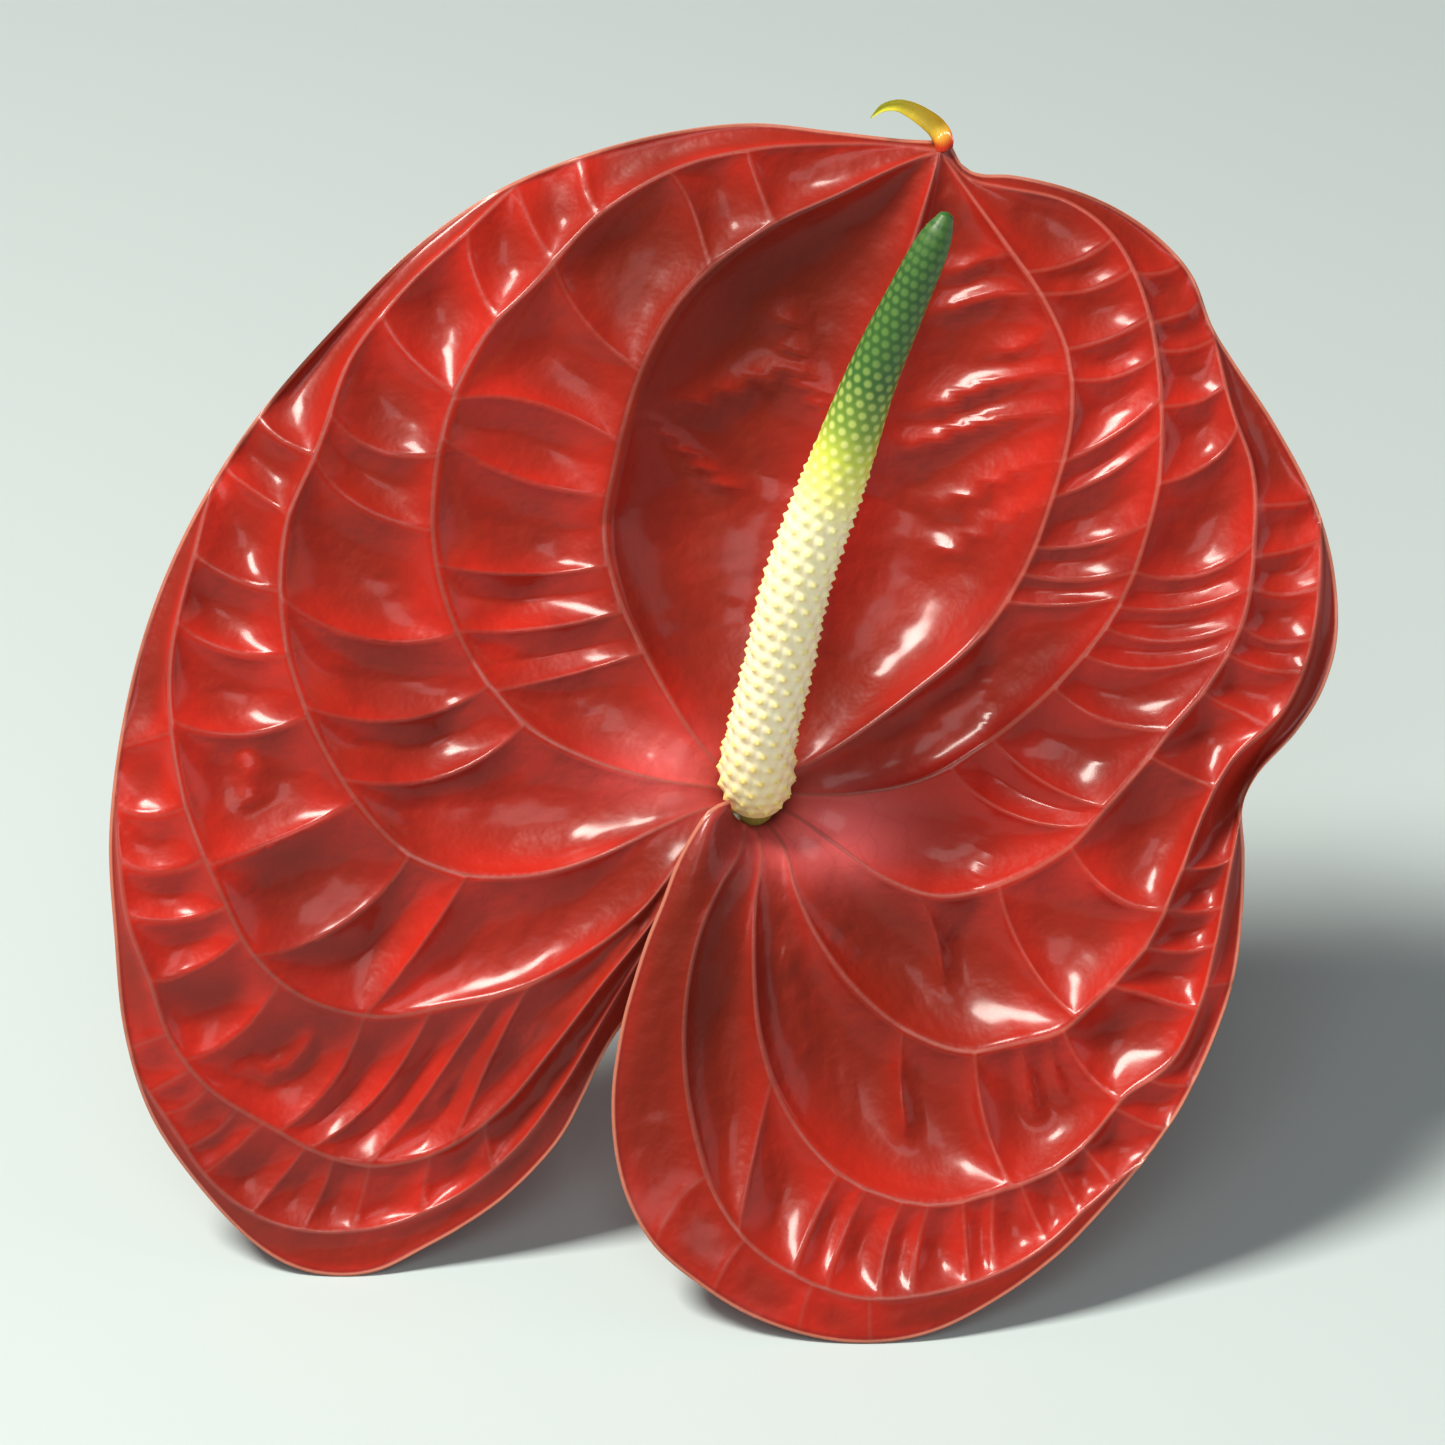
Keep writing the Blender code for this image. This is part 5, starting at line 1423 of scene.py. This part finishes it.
    def seat(self, lie: Lie, x: np.ndarray, y: np.ndarray, z: np.ndarray, thick: np.ndarray) -> Lie:
        """Puts the junction where the drawn blade fits the solid's box: centred, on its foot and its front.

        Args:
            lie: How the flower leans.
            x: The blade's points in its own plane.
            y: Their second coordinates.
            z: Their heights.
            thick: The blade's thickness at each.

        Returns:
            The lie with the junction's place in metres.
        """
        low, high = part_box("spathe")
        loose = Lie(lie.lean).to_world(x, y, z - thick / 2).reshape(-1, 3)
        return Lie(lie.lean, (
            (low[0] + high[0] - loose[:, 0].min() - loose[:, 0].max()) / 2,
            low[1] - float(Lie(lie.lean).to_world(x, y, z + thick / 2)[..., 1].min()),
            -loose[:, 2].min() - self.pressed))


@dataclass
class Spadix:
    """The spike of florets: pointed and cream at its base, smooth and green to its end."""

    radius: float = 3.9
    around: int = 13
    sides: int = 182
    rings: int = 440
    pitch_cream: float = 1.9
    pitch_green: float = 1.3
    swell: float = 0.16
    nub_height: float = 0.44
    base_sink: float = 0.7
    base_full: float = 0.2
    base_full_reach: Pair = (0.02, 0.14)
    nub_width: float = 0.36
    cream_end: float = 0.53
    green_start: float = 0.67
    # Places and fades along the spike are shares of its length
    pitch_change: Pair = (0.45, 0.7)
    first_ring: float = 0.3
    twist: float = 0.9
    smoothing: int = 21
    foot_fade: float = 0.02
    end_fade: float = 0.97
    nub_power: float = 1.5
    swell_width: float = 1.1
    swell_shares: Pair = (0.35, 0.65)
    nub_shares: Pair = (0.03, 0.97)
    end_length: float = 0.55
    dot_width: float = 0.5

    def florets(self, share: np.ndarray, turn: np.ndarray, length: float,
                radius: np.ndarray) -> tuple[np.ndarray, np.ndarray]:
        """The distance of each point to the nearest floret's middle.

        The florets stand in rings of one count, each turned by half a step from the last, with rings
        that come closer towards the end. The distance is taken along the spike and round it.

        Args:
            share: The place along the spike, from 0 to 1, for each ring.
            turn: The angle of each point of a ring.
            length: The spike's length.
            radius: Its radius at each ring.

        Returns:
            The distances, as rings by sides, and the spacing of the florets at each ring.
        """
        closer = smooth_step(share, *self.pitch_change)
        pitch = self.pitch_cream + (self.pitch_green - self.pitch_cream) * closer
        ring = np.concatenate([[0.0], np.cumsum(np.diff(share) * length / pitch[1:])]) + self.first_ring
        nearest = np.full((len(share), len(turn)), FAR)
        for offset in (0, 1):
            row = np.floor(ring) + offset
            place = turn[None, :] / (2 * np.pi) * self.around - 0.5 * (row % 2)[:, None]
            place = place + self.twist * share[:, None]
            sideways = (place - np.round(place)) * (2 * np.pi * radius / self.around)[:, None]
            along = ((ring - row) * pitch)[:, None]
            nearest = np.minimum(nearest, np.hypot(sideways, along))
        return nearest, pitch

    def build(self, lie: Lie) -> bpy.types.Object:
        """Builds the spadix.

        Each floret swells as a parabola of the distance to its middle and carries a nub, a sharp
        bell of that distance, which is high in the cream part and gone in the green one. The base sinks
        a little into the collar, because real ones are grown together, and is wider than the taper by a
        share that falls to nothing along a smooth step.

        Args:
            lie: Where and how the flower lies.

        Returns:
            The object.
        """
        start, ahead = np.array(SPADIX_AXIS[0]), np.array(SPADIX_AXIS[1])
        sunk = start - (ahead - start) / np.linalg.norm(ahead - start) * self.base_sink
        line = smooth_points([tuple(sunk), *SPADIX_AXIS[1:]], self.rings)
        length = float(np.linalg.norm(np.diff(line, axis=0), axis=1).sum())
        taper = np.array(SPADIX_TAPER)
        share = np.linspace(0.0, 1.0, self.rings)
        radius = self.radius * np.interp(share * taper[-1, 0], taper[:, 0], taper[:, 1])
        window = np.hanning(self.smoothing)
        padded = np.pad(radius, self.smoothing // 2, mode="edge")
        radius = np.convolve(padded, window / window.sum(), mode="valid")
        radius = radius * (1 + self.base_full * (1 - smooth_step(share, *self.base_full_reach)))
        turn = np.arange(self.sides) * 2 * np.pi / self.sides
        away, _ = self.florets(share, turn, length, radius)
        cream = (1 - smooth_step(share, self.cream_end, self.green_start))[:, None]
        fade = smooth_step(share, 0.0, self.foot_fade) * (1 - smooth_step(share, self.end_fade, 1.0))
        fade = fade[:, None]
        nub = np.exp(-((away / self.nub_width) ** self.nub_power))
        swell = 1 - np.minimum(away / self.swell_width, 1.0) ** 2
        swollen = self.swell * (self.swell_shares[0] + self.swell_shares[1] * cream) * swell
        raised = nub * self.nub_height * (self.nub_shares[0] + self.nub_shares[1] * cream)
        height = fade * (swollen + raised)
        smooth = tube(line, radius, self.sides)
        outward = smooth - line[:, None, :]
        outward /= np.linalg.norm(outward, axis=2)[..., None]
        rings = smooth + outward * height[..., None]
        last_step = line[-1] - line[-2]
        end = line[-1] + last_step / np.linalg.norm(last_step) * radius[-1] * self.end_length
        points = np.concatenate([rings.reshape(-1, 3), rings[0].mean(axis=0)[None], end[None]])
        flat = np.broadcast_to(share[:, None], away.shape)
        dot = np.exp(-((away / self.dot_width) ** 2))
        numbers = {"share": flat, "dot": dot, "nub": nub * cream}
        both = {key: np.append(v.ravel(), [v[0, 0], v[-1, 0]]) for key, v in numbers.items()}
        world = lie.to_world(points[:, 0], points[:, 1], points[:, 2])
        return add_piece("spadix_spike", world, tube_faces(*away.shape), [SpadixFinish().make()], both)


@dataclass
class Stem:
    """The stalk: a collar under the spadix, a bend down to the table and a straight run with a cut end."""

    top_radius: float = 2.75
    end_radius: float = 3.2
    collar_radius: float = 3.1
    collar_length: float = 1.2
    seat_gap: float = 0.3
    bend: float = 125.0
    length_on_table: float = 145.0
    landing_height: float = 20.0
    sides: int = 48
    # The neck's points under the collar, in the spathe's own plane
    neck: Points = field(default_factory=lambda: [
        (0.24, 3.07, 4.3), (0.12, 2.78, 3.55), (0.0, 2.68, 2.75), (0.0, 2.8, -0.5), (0.0, 2.8, -4.5),
        (0.0, 2.8, -12.0)])
    neck_lead: float = 0.5
    leave_length: float = 30.0
    bend_share: float = 0.62
    falling_points: int = 22
    lying_points: int = 16
    run_bow: float = 9.0
    rings: int = 420
    rib_height: float = 0.05
    rib_count: int = 9
    rib_reach: Pair = (4.0, 12.0)
    # The cut end's rings: the size of each, as a share, and how far out it stands
    bevel: Pair = (0.93, 0.25)
    cut_rings: tuple[Pair, ...] = ((0.8, 0.2), (0.4, 0.05))
    cut_run: float = 0.3

    def line(self, lie: Lie) -> np.ndarray:
        """The stem's middle line, from its collar to its cut end.

        It leaves the spathe square to its face, falls in a cubic curve to the table and lies along it.

        Args:
            lie: Where and how the flower lies.

        Returns:
            Points in millimetres of the world.
        """
        flat = np.array(SPADIX_AXIS, float)
        lead = flat[1] - flat[0]
        lead /= np.linalg.norm(lead)
        seat = flat[0] - lead * self.seat_gap
        inner = np.array([seat, seat - lead * self.neck_lead, *self.neck])
        at = np.array(lie.junction) / MM
        near = lie.to_world(inner[:, 0], inner[:, 1], inner[:, 2]) / MM
        start = near[-1]
        q = np.linspace(0.0, 1.0, self.falling_points)[1:, None]
        back = np.array([0.0, math.cos(lie.lean), -math.sin(lie.lean)])
        b = np.array([at[0], at[1] + self.bend * self.bend_share, self.end_radius])
        c = np.array([at[0], at[1] + self.bend, self.end_radius])
        falling = (1 - q)**3 * start + 3 * (1 - q)**2 * q * (start + back * self.leave_length)
        falling = falling + 3 * (1 - q) * q**2 * b + q**3 * c
        run = np.linspace(0.0, 1.0, self.lying_points)[1:, None]
        lying = c + np.concatenate([-self.run_bow * run**2, self.length_on_table * run, 0 * run], axis=1)
        return np.concatenate([near, falling, lying])

    def build(self, lie: Lie) -> bpy.types.Object:
        """Builds the stem, with shallow ribs along it and a slightly sunk cut end.

        Args:
            lie: Where and how the flower lies.

        Returns:
            The object.
        """
        rough = self.line(lie)
        fine = smooth_points([tuple(p) for p in rough], self.rings)
        run = np.concatenate([[0.0], np.cumsum(np.linalg.norm(np.diff(fine, axis=0), axis=1))])
        radius = self.top_radius + (self.end_radius - self.top_radius) * run / run[-1]
        radius = radius + (self.collar_radius - self.top_radius) * np.exp(-((run / self.collar_length) ** 2))
        landed = smooth_step(-fine[:, 2], -self.landing_height, -self.end_radius)
        fine[:, 2] -= (self.end_radius - radius) * landed
        rings = tube(fine, radius, self.sides)
        turn = np.arange(self.sides) * 2 * np.pi / self.sides
        ribs = self.rib_height * np.cos(self.rib_count * turn)[None, :]
        ribs = ribs * smooth_step(run, *self.rib_reach)[:, None]
        outward = (rings - fine[:, None, :]) / radius[:, None, None]
        rings = rings + outward * ribs[..., None]
        last = rings[-1]
        middle = last.mean(axis=0)
        ahead = (fine[-1] - fine[-2]) / np.linalg.norm(fine[-1] - fine[-2])
        bevel = middle + (last - middle) * self.bevel[0] + ahead * self.bevel[1]
        sunk = [middle + (last - middle) * size + ahead * out for size, out in self.cut_rings]
        rings = np.concatenate([rings, bevel[None], np.array(sunk)])
        count = len(rings)
        points = np.concatenate([rings.reshape(-1, 3), rings[0].mean(axis=0)[None], middle[None]])
        points[:, 2] = np.maximum(points[:, 2], 0.0)
        along = np.concatenate([run, [run[-1] + self.cut_run] * 3])
        cut = np.concatenate([np.zeros(count - 2), [1.0, 1.0]])
        numbers = {
            "run": np.append(np.repeat(along, self.sides), [0.0, run[-1]]),
            "turn": np.append(np.tile(np.abs(turn / np.pi - 1), count), [0.0, 0.0]),
            "cut": np.append(np.repeat(cut, self.sides), [0.0, 1.0]),
        }
        faces = tube_faces(count, self.sides)
        return add_piece("stem_stalk", points * MM, faces, [StemFinish().make()], numbers)


@dataclass
class Studio:
    """The pale floor, the soft light and the camera, set out in the spathe's own plane in millimetres."""

    distance: float = 870.0
    frame_width: float = 174.2
    sensor: float = 36.0
    aim: Pair = (-3.54, 12.42)
    key_place: Place = (-560.0, 780.0, 700.0)
    key_size: float = 0.30
    key_power: float = 22.0
    broad_place: Place = (-60.0, 180.0, 930.0)
    broad_size: float = 0.40
    broad_power: float = 1.9
    side_place: Place = (1000.0, 150.0, 260.0)
    side_size: float = 0.6
    side_power: float = 1.8
    sky: Colour = (0.92, 0.93, 0.93)
    sky_strength: float = 0.15
    key_colour: Colour = (1.0, 0.94, 0.85)
    broad_colour: Colour = (1.0, 0.98, 0.96)
    side_colour: Colour = (0.98, 0.99, 1.0)
    view_end: float = 20.0
    floor_half: float = 4.0
    floor_drop: float = 0.0001

    def camera(self, lie: Lie) -> None:
        """Puts the camera square to the spathe's plane, where the photograph was taken from."""
        data = bpy.data.cameras.new("camera")
        data.sensor_width = self.sensor
        data.lens = self.sensor * self.distance / self.frame_width
        data.clip_end = self.view_end
        obj = bpy.data.objects.new("camera", data)
        obj.location = lie.to_world(*self.aim, self.distance)
        obj.rotation_euler = (math.pi / 2 - lie.lean, 0.0, 0.0)
        bpy.context.scene.collection.objects.link(obj)
        bpy.context.scene.camera = obj

    def area(self, name: str, lie: Lie, place: Place, size: float, power: float,
             colour: Colour) -> None:
        """An area light that faces the middle of the spathe.

        Args:
            name: The light's name.
            lie: Where and how the flower lies.
            place: Its place in the spathe's plane, in millimetres.
            size: Its side in metres.
            power: Its power in watts.
            colour: Its colour.
        """
        data = bpy.data.lights.new(name, "AREA")
        data.size = size
        data.energy = power
        data.color = colour
        obj = bpy.data.objects.new(name, data)
        at = lie.to_world(*place)
        towards = lie.to_world(*self.aim, 0.0) - at
        obj.location = at
        obj.rotation_euler = Vector(towards).to_track_quat("-Z", "Y").to_euler()
        bpy.context.scene.collection.objects.link(obj)

    def floor(self) -> None:
        """The floor: a wide sheet under the flower."""
        half, low = self.floor_half, -self.floor_drop
        corners = np.array([(-half, -half, low), (half, -half, low), (half, half, low), (-half, half, low)])
        faces = np.array([(0, 1, 2), (0, 2, 3)])
        add_piece("floor", corners, faces, [FloorFinish().make()], {})

    def world(self) -> None:
        """An even pale sky."""
        world = bpy.data.worlds.new("studio")
        world.use_nodes = True
        background = world.node_tree.nodes["Background"]
        background.inputs["Color"].default_value = (*self.sky, 1.0)
        background.inputs["Strength"].default_value = self.sky_strength
        bpy.context.scene.world = world

    def build(self, lie: Lie) -> None:
        """Sets out the whole studio."""
        self.world()
        self.floor()
        self.area("key", lie, self.key_place, self.key_size, self.key_power, self.key_colour)
        self.area("broad", lie, self.broad_place, self.broad_size, self.broad_power, self.broad_colour)
        self.area("side", lie, self.side_place, self.side_size, self.side_power, self.side_colour)
        self.camera(lie)
        bpy.context.scene.view_settings.view_transform = "Standard"


def enrol(piece: bpy.types.Object, node: str) -> None:
    """Makes a piece stand for a solid and ride with the flower, and hides the solid.

    Args:
        piece: The piece.
        node: The solid that it stands for.
    """
    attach(piece, "root")
    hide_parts(node)
    LOG.info("%s stands for %s: %d points, %d faces", piece.name, node, len(piece.data.vertices),
             len(piece.data.polygons))


def main() -> None:
    """Builds the flower over its solids, then the studio."""
    logging.basicConfig(level=logging.INFO, format="%(name)s: %(message)s")
    spathe, lie = Spathe().build(Lie())
    LOG.info("the junction is at %s", [round(float(v), 5) for v in lie.junction])
    enrol(spathe, "spathe")
    enrol(Spadix().build(lie), "spadix")
    enrol(Stem().build(lie), "stem")
    Studio().build(lie)


if __name__ == "__main__":
    main()
